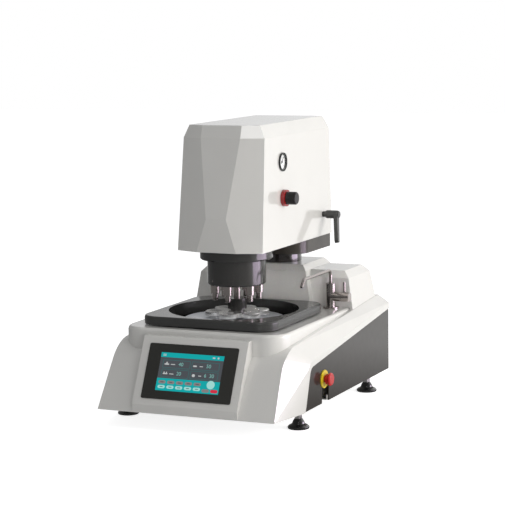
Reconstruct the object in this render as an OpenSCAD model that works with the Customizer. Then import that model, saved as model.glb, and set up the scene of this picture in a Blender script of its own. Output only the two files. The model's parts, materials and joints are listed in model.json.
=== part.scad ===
// Metallographic grinder-polisher: a bench machine with one platen in a water bowl
// and a power head on a column that presses specimens onto it.
// Millimetres, +Z up, +Y to the back, +X to the machine's right side.
// The origin is on the bench, in the middle of the four feet.

/* [Stance] */
// Distance of the feet from the lips beside them
foot_inset = 25; // [22:1:40]
// Distance between the front and the back feet
foot_pitch_y = 453; // [400:1:480]
// Height of the cabinet's underside above the bench
stance_h = 42; // [40:1:60]
// Diameter of a foot's pad
foot_pad_d = 52; // [44:1:60]
// Diameter of a foot's threaded stud
foot_stud_d = 10; // [8:1:12]

/* [Cabinet] */
// Width across the lips beside the side panels
cabinet_w = 502; // [496:1:540]
// How far the creases along the tops of the wings lie inside the lips
crease_inset = 30; // [27:1:34]
// How far the ends of the toe lie inside the lips
toe_inset = 22; // [16:1:24]
// How far the toe reaches ahead of the origin
toe_y = 376; // [370:1:390]
// How far the back face lies behind the origin
back_y = 330; // [326:1:350]
// Height of the creases at the back face
crease_back_z = 236; // [234:1:240]
// Angle of the wings' front slope
wing_deg = 59; // [57:0.5:61]
// Fall of the creases towards the front
crease_deg = 4; // [3.5:0.1:4.4]
// Radius of the shoulder between front slope and crease
shoulder_r = 109; // [90:1:120]
// Wall of the moulded covers
cover_wall = 4; // [3:0.5:5]
// Height of the deck around the bowl
deck_z = 228; // [226:1:232]
// How far the deck's sides lie inside the creases
deck_inset = 10; // [8:1:13]
// How far the deck's front wall lies ahead of the origin
deck_front_y = 286; // [282:1:290]
// Corner radius of the deck
deck_corner_r = 55; // [45:1:65]
// Rounding of the deck's upper edge
deck_edge_r = 9; // [5:1:12]

/* [Side panels] */
// Front lower corner of a side panel, ahead of the origin
panel_front_y = 241; // [236:1:246]
// Slope of the panel's front edge
panel_front_deg = 70.6; // [68:0.2:74]
// Height of the panel's upper edge at the back face
panel_back_z = 201.5; // [196:0.5:204]
// Fall of the panel's upper edge towards the front
panel_top_deg = 6.4; // [6:0.1:7]
// Rounding of the panel's upper front corner
panel_corner_r = 22; // [15:1:30]
// Width of the lip round the panel
lip_w = 15; // [12:1:17]
// Thickness of the sheet panels
panel_t = 3; // [2:0.5:4]
// Width of the slot in the right panel
slot_w = 43; // [36:1:50]
// Height of the slot above the cabinet's underside
slot_h = 38; // [30:1:44]
// Distance of the slot's middle ahead of the origin
slot_y = 113; // [108:1:118]

/* [Screen] */
// Width of the sloping screen plinth
plinth_w = 272; // [262:1:280]
// Tilt of the screen back from the vertical
screen_deg = 25.6; // [24:0.2:27]
// Height where the plinth's slope starts
plinth_foot_z = 62; // [58:1:66]
// Height of the plinth's upper edge
plinth_top_z = 214; // [210:1:218]
// Width of the screen's frame
bezel_w = 231.4; // [224:0.2:240]
// Height of the screen's frame along the slope
bezel_h = 134.5; // [130:0.5:140]
// Height of the middle of the screen
screen_z = 137; // [132:0.5:141]
// Width of the glass
glass_w = 164; // [154:1:176]
// Height of the glass along the slope
glass_h = 92.4; // [86:0.2:100]

/* [Tower] */
// Height of the middle of the tower
tower_z = 333; // [328:1:338]
// Height of the tower's side boxes
box_z = 319; // [315:1:323]
// How far the side boxes lie inside the creases
box_inset = 2; // [1:0.5:4]
// Width of the tower's middle at deck level
tower_w = 226; // [220:1:232]
// How far the tower's middle starts behind the origin
tower_front_y = 127; // [124:1:132]
// Step from the tower's middle back to its side boxes
box_step = 22; // [18:1:26]
// Draft of the tower's side walls
tower_draft = 9.5; // [8:0.5:11]

/* [Bowl and platen] */
// Diameter of the platen
platen_d = 250; // [230:1:254]
// Thickness of the platen
platen_t = 14; // [10:1:16]
// Height of the platen's working face
platen_z = 229.5; // [228:0.5:230]
// Distance of the platen's axis ahead of the origin
platen_y = 90; // [86:1:94]
// Width of the splash ring
ring_w = 350; // [344:1:356]
// Width of the ring's rim where it is narrowest from side to side
ring_rim_w = 15.3; // [13:0.1:18]
// Length of the splash ring from front to back
ring_l = 346; // [340:1:352]
// Corner radius of the splash ring
ring_corner_r = 47; // [40:1:60]
// Height of the splash ring
ring_h = 21; // [18:1:24]
// Rounding of the ring's upper edge
ring_edge_r = 5; // [3:0.5:7]
// Height of the bowl's floor
bowl_floor_z = 176; // [174:1:178]
// Outer diameter of the driven pulley
driven_pulley_d = 120; // [100:1:140]
// Outer diameter of the motor pulley
motor_pulley_d = 50; // [40:1:60]

/* [Head] */
// Distance of the spindle's axis ahead of the origin
spindle_y = 70; // [66:1:74]
// Height of the head cover's top
head_top_z = 704; // [694:1:720]
// Height where the head cover's roof bevel starts
head_bevel_z = 673.5; // [668:0.5:680]
// Height of the head cover's lower edge
head_z = 401; // [399:1:403]
// Width of the head cover at its lower edge
head_w = 225.6; // [222:0.4:230]
// Width of the head cover at the bevel
head_bevel_w = 214.4; // [210:0.4:218]
// Width of the head cover's top
head_top_w = 187.2; // [180:0.4:192]
// How far the head cover's back lies behind the origin
head_back_y = 278; // [274:1:284]
// Thickness of the arm under the head
arm_t = 33; // [30:1:34]
// Outer diameter of the ring under the head
flange_d = 180; // [176:1:184]
// Height of the ring under the head
flange_h = 27; // [25:1:29]
// Travel of the quill
quill_travel = 40; // [30:1:42]
// Diameter of the column
column_d = 60; // [50:1:64]
// Distance of the column's axis behind the origin
column_y = 212; // [208:1:216]
// Diameter of the round foot of the column
column_foot_d = 102; // [96:1:108]

/* [Pressure head] */
// Diameter of the pressure cylinder
cylinder_d = 144; // [140:1:146]
// Height of the pressure cylinder's lower face
cylinder_z = 311.7; // [308:0.1:314]
// Radius of the circle that the pistons stand on
piston_pitch_r = 53.8; // [53:0.1:55]
// Diameter of a piston
piston_d = 22; // [20:1:24]
// Diameter of a piston's tip
piston_tip_d = 15; // [12:1:17]
// Height of the pistons' tips when retracted
piston_tip_z = 272; // [270:0.5:276]
// Travel of a piston
piston_travel = 16; // [10:1:18]
// Number of pistons and of specimen holes
stations = 6; // [6:1:6]
// Diameter of the spindle below the cylinder
shaft_d = 17; // [15:1:20]
// Diameter of the coupling above the holder
coupling_d = 47; // [42:1:52]
// Diameter across the holder's lobes
holder_d = 158; // [154:1:162]
// Thickness of the specimen holder
holder_t = 12; // [10:1:13]
// Height of the specimen holder's lower face
holder_z = 234; // [233:0.5:235]
// Diameter of a specimen hole
specimen_d = 30; // [25:1:32]

/* [Head controls] */
// Diameter of the pressure gauge's rim
gauge_d = 46; // [42:1:50]
// Height of the gauge's middle
gauge_z = 609.5; // [604:0.5:616]
// Distance of the gauge ahead of the origin
gauge_y = 31; // [26:1:36]
// Diameter of the regulator's red ring
regulator_ring_d = 41; // [36:1:46]
// Diameter of the regulator's knob
regulator_knob_d = 31; // [28:1:36]
// Height of the regulator's axis
regulator_z = 521.5; // [516:0.5:528]
// Distance of the regulator ahead of the origin
regulator_y = 30; // [26:1:34]
// Height of the clamp lever's axis
lever_z = 455; // [450:1:460]
// Distance of the clamp lever behind the origin
lever_y = 222; // [218:1:226]
// Length of the clamp lever's arm
lever_l = 82; // [70:1:90]
// How far the clamp lever rests turned towards the front
lever_rest_deg = 32; // [0:1:45]

/* [Faucet] */
// Distance of the faucet from the deck's right side
faucet_inset = 43; // [39:1:47]
// Distance of the faucet behind the origin
faucet_y = 128.5; // [126:0.5:131]
// Diameter of the faucet's body
faucet_d = 24; // [20:1:28]
// Height of the faucet's body above the deck
faucet_h = 64; // [56:1:70]
// Diameter of the spout tube
spout_d = 8; // [6:0.5:10]
// Height of the spout's straight run above the deck
spout_rise = 97; // [90:1:104]
// Reach of the spout's straight run
spout_reach = 168; // [150:1:176]

/* [Emergency stop] */
// Diameter of the yellow plate
stop_plate_d = 44; // [38:1:50]
// Diameter of the red mushroom
stop_head_d = 32; // [28:1:36]
// Height of the emergency stop's axis
stop_z = 99.6; // [95:0.2:104]
// Distance of the emergency stop ahead of the origin
stop_y = 121.5; // [117:0.5:126]
// Travel of the button
stop_travel = 4; // [3:0.5:5]

/* [Hidden] */

// Widths that follow the cabinet's, and the opening that follows the ring's
foot_pitch_x = cabinet_w - 2 * foot_inset;
crease_w = cabinet_w - 2 * crease_inset;
toe_w = cabinet_w - 2 * toe_inset;
deck_w = crease_w - 2 * deck_inset;
box_w = crease_w - 2 * box_inset;
faucet_x = deck_w / 2 - faucet_inset;
ring_bore_d = ring_w - 2 * ring_rim_w;

// Overrun of a cut past the face that it opens
over = 1;
// Gap between a moulded cover and a sheet that closes it
seat_gap = 0.3;
// Radial clearance of a running fit
run_gap = 0.05;
// Gap between a moving piece and the walls that it passes
pass_gap = 1;
// Facets round a turned piece, and round a corner of a blended one
$fn = 96;
corner_fn = 24;
// Steps along a rounded outline and along a rounded edge
arc_steps = 8;
edge_steps = 4;
// Thickness of a section that a blended shape is stretched from
slice = 0.02;

full_turn = 360;
function unit(v) = v / norm(v);
// Points of the arc of radius r that rounds corner b of the path a, b, c
function corner_arc(a, b, c, r) =
    let (u = unit(a - b), w = unit(c - b), half = acos(u * w) / 2,
        mid = b + unit(u + w) * r / sin(half),
        p = b + u * r / tan(half) - mid, q = b + w * r / tan(half) - mid,
        start = atan2(p.y, p.x),
        turn = (atan2(q.y, q.x) - start + 1.5 * full_turn) % full_turn - full_turn / 2)
    r == 0 ? [b] : [for (i = [0:arc_steps])
        mid + r * [cos(start + turn * i / arc_steps), sin(start + turn * i / arc_steps)]];
// A closed outline with its own radius at each corner
function rounded(points, radii) =
    let (k = len(points))
    [for (i = [0:k - 1])
        each corner_arc(points[(i + k - 1) % k], points[i], points[(i + 1) % k], radii[i])];

// Extrudes an outline drawn in (Y, Z) along X, from x0 to x1
module along_x(x0, x1) {
    translate([x0, 0, 0]) rotate([90, 0, 90]) linear_extrude(x1 - x0) children();
}
// A cylinder along +X from x0 to x1
module rod_x(x0, x1, d) {
    translate([x0, 0, 0]) rotate([0, 90, 0]) cylinder(d = d, h = x1 - x0);
}
// A cylinder along +Z from z0 to z1
module post(z0, z1, d) {
    translate([0, 0, z0]) cylinder(d = d, h = z1 - z0);
}
// A ring along +Z from z0 to z1
module ring(z0, z1, d, bore) {
    difference() {
        post(z0, z1, d);
        post(z0 - over, z1 + over, bore);
    }
}
// A rectangle with rounded corners, centred
module round_rect(w, l, r) {
    square([w - 2 * r, l], center = true);
    square([w, l - 2 * r], center = true);
    for (x = [-1, 1], y = [-1, 1]) translate([x * (w / 2 - r), y * (l / 2 - r)]) circle(r);
}
// A rounded plate with a rounded upper edge, standing on z0
module soft_plate(w, l, r, z0, z1, edge) {
    hull() {
        translate([0, 0, z0]) linear_extrude(z1 - z0 - edge)
            round_rect(w, l, r, $fn = corner_fn * 2);
        for (i = [1:edge_steps]) {
            turn = 90 * i / edge_steps;
            inset = edge * (1 - cos(turn));
            translate([0, 0, z1 - edge + edge * sin(turn) - slice])
                linear_extrude(slice) round_rect(w - 2 * inset, l - 2 * inset, r - inset,
                    $fn = corner_fn * 2);
        }
    }
}

// Height of the creases at a distance behind the origin
function crease_z(y) = crease_back_z - (back_y - y) * tan(crease_deg);
// The cabinet's side outline in (Y, Z), with its underside at floor_z
function wing_outline(floor_z) =
    let (rise = tan(wing_deg), fall = tan(crease_deg),
        front = -toe_y - (stance_h - floor_z) / rise,
        knee = (crease_back_z - back_y * fall - stance_h - toe_y * rise) / (rise - fall),
        knee_z = stance_h + (knee + toe_y) * rise)
    rounded([[front, floor_z], [knee, knee_z], [back_y, crease_back_z], [back_y, floor_z]],
        [0, shoulder_r, 0, 0]);
// The side panel's outline in (Y, Z), grown by a margin, from floor_z up and to the back
function panel_outline(margin, floor_z, back) =
    let (rise = tan(panel_front_deg), fall = tan(panel_top_deg),
        grow_front = margin / sin(panel_front_deg), grow_top = margin / cos(panel_top_deg),
        foot = -panel_front_y - grow_front - (stance_h - floor_z) / rise,
        top = panel_back_z + grow_top,
        knee = (top - back_y * fall - stance_h + (-panel_front_y - grow_front) * rise)
            / (rise - fall),
        knee_z = top - (back_y - knee) * fall)
    rounded([[foot, floor_z], [knee, knee_z], [back, top + (back - back_y) * fall],
            [back, floor_z]], [0, panel_corner_r + max(margin, 0), 0, 0]);

// How far the side panels lie behind the lips, and the flange that they rest on
panel_reveal = 2;
panel_flange = 12;
side_wall = cover_wall + panel_t + panel_reveal;
panel_x = cabinet_w / 2 - panel_reveal;

// The cabinet's two wings as one solid, drawn in by a margin
module wing_body(inset, side_inset, floor_z) {
    hull() {
        along_x(inset - crease_w / 2, crease_w / 2 - inset)
            offset(delta = -inset) polygon(wing_outline(floor_z));
        along_x(side_inset - cabinet_w / 2, cabinet_w / 2 - side_inset)
            offset(delta = -inset) polygon(panel_outline(lip_w, floor_z, back_y));
        if (inset == 0) translate([-toe_w / 2, -toe_y, floor_z]) cube([toe_w, slice, slice]);
    }
}

// Back end of the deck, hidden under the tower, and height where its block starts
deck_back_y = tower_front_y + box_step + deck_corner_r;
deck_skirt_h = 70;
deck_root_z = deck_z - deck_skirt_h;
// The raised deck round the bowl, drawn in by a margin
module deck_body(inset) {
    translate([0, (deck_back_y - deck_front_y) / 2, 0])
        soft_plate(deck_w - 2 * inset, deck_back_y + deck_front_y - 2 * inset,
            deck_corner_r - inset, deck_root_z, deck_z - inset, deck_edge_r);
}

// The screen plinth in (Y, Z), drawn in by a margin
plinth_root_y = deck_front_y - 3 * cover_wall;
function plinth_y(z) = -toe_y + (z - plinth_foot_z) * tan(screen_deg);
function plinth_outline(inset, floor_z) =
    let (back = inset / cos(screen_deg))
    [[-toe_y + inset, floor_z], [-toe_y + inset, plinth_foot_z],
        [plinth_y(plinth_foot_z) + back, plinth_foot_z],
        [plinth_y(plinth_top_z - inset) + back, plinth_top_z - inset],
        [-plinth_root_y + inset, plinth_top_z - inset], [-plinth_root_y + inset, floor_z]];

// Places its children on the plinth's slope: X across, Y up the slope, Z outwards
module on_screen() {
    translate([0, plinth_y(screen_z), screen_z]) rotate([90 - screen_deg, 0, 0]) children();
}
// Thickness of the frame, recess of the glass in it and depth of the display behind it
bezel_t = 2;
glass_recess = 0.4;
display_t = 22;
bezel_corner_r = 4;

bowl_hole_d = ring_bore_d + 4 * cover_wall;
column_hole_d = column_d + 4 * pass_gap;

module base_cover() {
    inner_floor_z = stance_h - cover_wall - over;
    color("whitesmoke") difference() {
        union() {
            wing_body(0, 0, stance_h);
            deck_body(0);
            along_x(-plinth_w / 2, plinth_w / 2) polygon(plinth_outline(0, stance_h));
        }
        wing_body(cover_wall, side_wall, inner_floor_z);
        deck_body(cover_wall);
        along_x(cover_wall - plinth_w / 2, plinth_w / 2 - cover_wall)
            polygon(plinth_outline(cover_wall, inner_floor_z));
        on_screen() cube([glass_w + 2 * seat_gap, glass_h + 2 * seat_gap, 4 * display_t],
            center = true);
        translate([0, -platen_y, 0]) post(bowl_floor_z, deck_z + over, bowl_hole_d);
        translate([0, column_y, 0]) post(bowl_floor_z, tower_z, column_hole_d);
        translate([faucet_x, faucet_y, 0])
            post(bowl_floor_z, deck_z + over, faucet_shank_d + 2 * seat_gap);
        for (side = [0, 1]) mirror([side, 0, 0]) {
            along_x(panel_x - panel_t, cabinet_w / 2 + over)
                polygon(panel_outline(seat_gap, stance_h - over, back_y + over));
            along_x(crease_w / 2 - over, cabinet_w / 2)
                polygon(panel_outline(-panel_flange, stance_h + panel_flange,
                    back_y - panel_flange - cover_wall));
        }
        translate([crease_w / 2 - over, -slot_y - slot_w / 2, stance_h - over])
            cube([cabinet_w / 2, slot_w, slot_h + over]);
        back_window();
    }
}

// Sheet panel in one side; side is 1 for the right and -1 for the left
module side_panel(side) {
    color("dimgray") mirror([side < 0 ? 1 : 0, 0, 0]) difference() {
        along_x(panel_x - panel_t, panel_x) polygon(panel_outline(0, stance_h, back_y));
        if (side > 0) {
            translate([panel_x - panel_t - over, -slot_y - slot_w / 2, stance_h - over])
                cube([panel_t + 2 * over, slot_w, slot_h + over]);
            translate([0, -stop_y, stop_z])
                rod_x(panel_x - panel_t - over, panel_x + over, stop_hole_d);
        }
    }
}

// Outline of the rear panel, its window in the cover and its ventilation slots
rear_margin = 30;
rear_sill = 10;
rear_drop = 38;
rear_w = crease_w - 2 * rear_margin;
rear_z0 = stance_h + rear_sill;
rear_z1 = crease_back_z - rear_drop;
vent_rows = 7;
vent_pitch = 9;
vent_h = 4;
vent_w = 110;
vent_x = 100;
module back_window() {
    translate([panel_flange - rear_w / 2, back_y - cover_wall - over, rear_z0 + panel_flange])
        cube([rear_w - 2 * panel_flange, cover_wall + 2 * over,
            rear_z1 - rear_z0 - 2 * panel_flange]);
}
module rear_panel() {
    color("dimgray") difference() {
        translate([-rear_w / 2, back_y, rear_z0]) cube([rear_w, panel_t, rear_z1 - rear_z0]);
        for (x = [-1, 1], row = [0:vent_rows - 1])
            translate([x * vent_x - vent_w / 2, back_y - over,
                    rear_z1 - 2 * panel_flange - vent_h - row * vent_pitch])
                cube([vent_w, panel_t + 2 * over, vent_h]);
        for (x = hose_x) translate([x, back_y, hose_z]) rotate([-90, 0, 0])
            translate([0, 0, -over]) cylinder(d = hose_hole_d, h = panel_t + 2 * over);
        translate([drain_x, back_y, drain_z]) rotate([-90, 0, 0])
            translate([0, 0, -over]) cylinder(d = drain_d + 2 * seat_gap, h = panel_t + 2 * over);
        translate([inlet_x - inlet_w / 2, back_y - over, hose_z - inlet_h / 2])
            cube([inlet_w, panel_t + 2 * over, inlet_h]);
    }
}

// Power inlet, water and air inlets, and the drain, all in the rear panel
inlet_x = -150;
inlet_w = 27;
inlet_h = 20;
inlet_rim = 5;
inlet_depth = 24;
inlet_pocket = 15;
inlet_wall = 2;
pin_w = 2;
pin_l = 11;
pin_h = 5;
pin_pitch = 7;
hose_x = [-60, -20];
hose_rise = 34;
hose_z = stance_h + hose_rise;
hose_hole_d = 13;
hose_tail_d = 10.4;
hose_tail_l = 26;
hose_nut_d = 19;
hose_nut_l = 7;
hose_bore_d = 6;
module power_inlet() {
    color("black") translate([inlet_x, back_y, hose_z]) {
        difference() {
            union() {
                translate([-inlet_w / 2 - inlet_rim, panel_t, -inlet_h / 2 - inlet_rim])
                    cube([inlet_w + 2 * inlet_rim, panel_t, inlet_h + 2 * inlet_rim]);
                translate([seat_gap - inlet_w / 2, -inlet_depth, seat_gap - inlet_h / 2])
                    cube([inlet_w - 2 * seat_gap, inlet_depth + panel_t,
                        inlet_h - 2 * seat_gap]);
            }
            translate([inlet_wall - inlet_w / 2, panel_t - inlet_pocket, inlet_wall - inlet_h / 2])
                cube([inlet_w - 2 * inlet_wall, inlet_pocket + panel_t + over,
                    inlet_h - 2 * inlet_wall]);
        }
        for (pin = [-1:1])
            translate([pin * pin_pitch - pin_w / 2, panel_t - inlet_pocket - over,
                    (pin == 0 ? 1 : -1) * pin_w - pin_h / 2])
                cube([pin_w, pin_l, pin_h]);
    }
}
module hose_inlets() {
    color("goldenrod") for (x = hose_x) translate([x, back_y, hose_z]) rotate([-90, 0, 0])
        difference() {
            union() {
                post(-hose_nut_l, 0, hose_nut_d, $fn = 6);
                post(-hose_tail_l, hose_tail_l + panel_t, hose_tail_d);
                post(panel_t, panel_t + hose_nut_l, hose_nut_d, $fn = 6);
            }
            post(-hose_tail_l - over, hose_tail_l + panel_t + over, hose_bore_d);
        }
}

// Back of the tower, drafts of its front and back, and the bevels along its top
tower_ledge = 12;
tower_back_y = back_y - tower_ledge;
tower_front_deg = 4.4;
tower_back_deg = 9;
tower_bevel_h = 14.5;
tower_bevel_w = 9;
box_bevel_h = 17;
box_bevel_w = 13;
tower_root = 14;
// A block with drafted walls and a bevelled top, w wide at deck level, from front to back
module drafted_block(w, front, top_z, bevel_h, bevel_w, inset) {
    hull() for (level = [[deck_z - tower_root, 0], [top_z - bevel_h, 0], [top_z - inset, 1]]) {
        rise = level[0] - deck_z;
        side = w / 2 - rise * tan(tower_draft) - level[1] * bevel_w - inset;
        y0 = front + rise * tan(tower_front_deg) + level[1] * bevel_w + inset;
        y1 = tower_back_y - rise * tan(tower_back_deg) - level[1] * bevel_w - inset;
        translate([-side, y0, level[0] - slice]) cube([2 * side, y1 - y0, slice]);
    }
}
module tower_body(inset) {
    drafted_block(tower_w, tower_front_y, tower_z, tower_bevel_h, tower_bevel_w, inset);
    drafted_block(box_w, tower_front_y + box_step, box_z, box_bevel_h, box_bevel_w, inset);
}
module tower_cover() {
    color("whitesmoke") difference() {
        tower_body(0);
        difference() {
            tower_body(cover_wall);
            translate([0, column_y, 0]) post(deck_z, tower_z, column_hole_d + 2 * cover_wall);
        }
        translate([0, column_y, 0]) post(deck_z - tower_root - over, tower_z + over,
            column_hole_d);
        translate([0, (deck_back_y - deck_front_y) / 2, deck_root_z])
            linear_extrude(deck_z - deck_root_z)
                round_rect(deck_w, deck_back_y + deck_front_y, deck_corner_r);
        along_x(-cabinet_w / 2, cabinet_w / 2) polygon([[0, deck_root_z], [0, crease_z(0)],
            [back_y, crease_z(back_y)], [back_y, deck_root_z]]);
    }
}

module screen_bezel() {
    color("black") on_screen() difference() {
        linear_extrude(bezel_t) round_rect(bezel_w, bezel_h, bezel_corner_r);
        translate([0, 0, -over]) linear_extrude(bezel_t + 2 * over)
            square([glass_w, glass_h], center = true);
    }
}
module touch_screen() {
    color("darkcyan") on_screen() translate([0, 0, -display_t])
        linear_extrude(display_t + bezel_t - glass_recess)
            square([glass_w - seat_gap, glass_h - seat_gap], center = true);
}

// The bowl: its wall, its flange on the deck and its collar round the bearing housing
bowl_wall = 4;
bowl_flange_w = 16;
bowl_flange_d = ring_bore_d + 2 * bowl_flange_w;
bowl_flange_t = 3;
bowl_in_d = ring_bore_d + 2 * bowl_wall;
bowl_collar_d = 92;
bowl_collar_h = 26;
drain_d = 34;
drain_wall = 3;
drain_x = 92;
drain_back = 92;
drain_y = drain_back - platen_y;
drain_z = 120;
module bowl() {
    color("black") difference() {
        translate([0, -platen_y, 0]) {
            ring(bowl_floor_z, deck_z, bowl_in_d + 2 * bowl_wall, bowl_in_d);
            ring(deck_z, deck_z + bowl_flange_t, bowl_flange_d, bowl_in_d);
            ring(bowl_floor_z, bowl_floor_z + bowl_wall, bowl_in_d + bowl_wall, bowl_collar_d
                - bowl_wall);
            ring(bowl_floor_z, bowl_floor_z + bowl_collar_h, bowl_collar_d, bowl_collar_d
                - 2 * bowl_wall);
        }
        translate([drain_x, drain_y, 0])
            post(bowl_floor_z - over, bowl_floor_z + bowl_wall + over, drain_d - 2 * drain_wall);
    }
}
// The drain runs down from the bowl's floor and straight out at the back
drain_tail_l = 18;
drain_tail_d = 32;
module drain_pipe() {
    color("dimgray") difference() {
        union() {
            translate([drain_x, drain_y, 0]) post(drain_z, bowl_floor_z, drain_d);
            translate([drain_x, drain_y, drain_z]) sphere(d = drain_d);
            translate([drain_x, drain_y, drain_z]) rotate([-90, 0, 0]) {
                cylinder(d = drain_d, h = back_y + panel_t - drain_y);
                cylinder(d = drain_tail_d, h = back_y + panel_t + drain_tail_l - drain_y);
            }
        }
        translate([drain_x, drain_y, 0])
            post(drain_z, bowl_floor_z + over, drain_d - 2 * drain_wall);
        translate([drain_x, drain_y, drain_z]) sphere(d = drain_d - 2 * drain_wall);
        translate([drain_x, drain_y, drain_z]) rotate([-90, 0, 0])
            cylinder(d = drain_d - 2 * drain_wall,
                h = back_y + panel_t + drain_tail_l + over - drain_y);
    }
}

// The splash ring stands on the bowl's flange, with a spigot that hangs into the bowl
ring_z = deck_z + bowl_flange_t;
spigot_h = 10;
spigot_t = 2;
module splash_ring() {
    color("dimgray") translate([0, -platen_y, 0]) difference() {
        union() {
            soft_plate(ring_w, ring_l, ring_corner_r, ring_z, ring_z + ring_h, ring_edge_r);
            post(ring_z - spigot_h, ring_z + over, ring_bore_d + 2 * spigot_t);
        }
        post(ring_z - spigot_h - over, ring_z + ring_h + over, ring_bore_d);
    }
}

// Platen, carrier, shaft, bearings and pulleys on the platen's axis
carrier_t = 8;
carrier_d = 200;
carrier_skirt_d = 116;
carrier_skirt_h = 14;
carrier_hub_d = 44;
carrier_hub_h = 12;
drive_pin_d = 8;
drive_pin_r = 75;
drive_pins = 3;
platen_shaft_d = 24.9;
platen_bearing_d = 52;
platen_bearing_t = 15;
housing_d = 76;
housing_flange_d = 110;
housing_flange_t = 8;
frame_plate_t = 6;
frame_plate_z = 94;
frame_top_z = frame_plate_z + frame_plate_t;
housing_drop = 8;
housing_top_z = bowl_floor_z - housing_drop;
pulley_z = 62;
pulley_h = 26;
belt_h = 18;
belt_t = 5;
belt_gap = 0.3;
platen_bottom_z = platen_z - platen_t;
module on_platen_axis() { translate([0, -platen_y, 0]) children(); }
module platen() {
    chamfer = platen_t / 8;
    color("lightsteelblue") on_platen_axis() difference() {
        rotate_extrude() polygon([[0, platen_bottom_z], [platen_d / 2, platen_bottom_z],
            [platen_d / 2, platen_z - chamfer], [platen_d / 2 - chamfer, platen_z],
            [0, platen_z]]);
        for (pin = [1:drive_pins]) rotate(360 * pin / drive_pins) translate([drive_pin_r, 0, 0])
            post(platen_bottom_z - over, platen_bottom_z + platen_t / 2,
                drive_pin_d + 2 * run_gap);
    }
}
module platen_carrier() {
    bottom_z = platen_bottom_z - carrier_t;
    color("silver") on_platen_axis() {
        difference() {
            union() {
                post(bottom_z, platen_bottom_z, carrier_d);
                post(bottom_z - carrier_hub_h, bottom_z, carrier_hub_d);
                ring(bottom_z - carrier_skirt_h, bottom_z, carrier_skirt_d,
                    carrier_skirt_d - 2 * cover_wall);
                for (pin = [1:drive_pins]) rotate(360 * pin / drive_pins)
                    translate([drive_pin_r, 0, 0])
                        post(bottom_z, platen_bottom_z + platen_t / 2 - over, drive_pin_d);
            }
            post(bottom_z - carrier_hub_h - over, platen_bottom_z - carrier_t / 2,
                platen_shaft_d);
        }
    }
}
module platen_shaft() {
    color("silver") on_platen_axis()
        post(pulley_z - over, platen_bottom_z - carrier_t / 2, platen_shaft_d);
}
module bearing_housing() {
    color("dimgray") on_platen_axis() difference() {
        union() {
            post(frame_top_z, frame_top_z + housing_flange_t, housing_flange_d);
            post(frame_top_z, housing_top_z, housing_d);
        }
        post(frame_top_z - over, housing_top_z + over, platen_shaft_d + 2 * cover_wall);
        post(frame_top_z - over, frame_top_z + platen_bearing_t, platen_bearing_d);
        post(housing_top_z - platen_bearing_t, housing_top_z + over, platen_bearing_d);
    }
}
module platen_bearings() {
    color("silver") on_platen_axis()
        for (z = [frame_top_z, housing_top_z - platen_bearing_t])
            ball_bearing(z, platen_bearing_d, platen_shaft_d + 2 * run_gap, platen_bearing_t);
}
// A sealed ball bearing: its races with a shallow groove on each side
module ball_bearing(z, d, bore, t) {
    groove = t / 12;
    race = (d - bore) / 8;
    translate([0, 0, z]) difference() {
        ring(0, t, d, bore);
        for (side = [-over, t - groove])
            ring(side, side + groove + over, d - 2 * race, bore + 2 * race);
    }
}
module driven_pulley() {
    color("dimgray") on_platen_axis() pulley(driven_pulley_d, platen_shaft_d);
}
// A flat belt pulley with a rim above and below the belt
module pulley(d, bore) {
    rim = (pulley_h - belt_h) / 2 - belt_gap;
    difference() {
        union() {
            post(pulley_z, pulley_z + pulley_h, d);
            for (z = [pulley_z, pulley_z + pulley_h - rim]) post(z, z + rim, d + 2 * belt_t);
        }
        post(pulley_z - over, pulley_z + pulley_h + over, bore);
    }
}
motor_x = -118;
motor_y = 105;
motor_d = 96;
motor_h = 108;
motor_shaft_d = 14;
motor_cap_h = 16;
motor_fins = 24;
motor_fin_w = 3;
motor_fin_h = 3;
module platen_motor() {
    color("slategray") translate([motor_x, motor_y, 0]) difference() {
        union() {
            post(frame_top_z, frame_top_z + motor_h, motor_d - 2 * motor_fin_h);
            post(frame_top_z, frame_top_z + motor_cap_h, motor_d);
            post(frame_top_z + motor_h - motor_cap_h, frame_top_z + motor_h, motor_d);
            for (fin = [1:motor_fins]) rotate(360 * fin / motor_fins)
                translate([motor_d / 2 - 2 * motor_fin_h, -motor_fin_w / 2,
                        frame_top_z + motor_cap_h - over])
                    cube([1.5 * motor_fin_h, motor_fin_w, motor_h - 2 * (motor_cap_h - over)]);
        }
        post(frame_top_z - over, frame_top_z + motor_h / 2, motor_shaft_d + 2 * run_gap);
    }
}
module motor_pulley() {
    color("dimgray") translate([motor_x, motor_y, 0]) {
        pulley(motor_pulley_d, motor_shaft_d - over);
        post(pulley_z, frame_top_z + motor_h / 2 - over, motor_shaft_d);
    }
}
module belt_loop(margin, z0, z1) {
    hull() {
        on_platen_axis() post(z0, z1, driven_pulley_d + 2 * margin);
        translate([motor_x, motor_y, 0]) post(z0, z1, motor_pulley_d + 2 * margin);
    }
}
module drive_belt() {
    z0 = pulley_z + (pulley_h - belt_h) / 2;
    color("black") difference() {
        belt_loop(belt_t - belt_gap, z0, z0 + belt_h);
        belt_loop(belt_gap, z0 - over, z0 + belt_h + over);
    }
}
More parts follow.
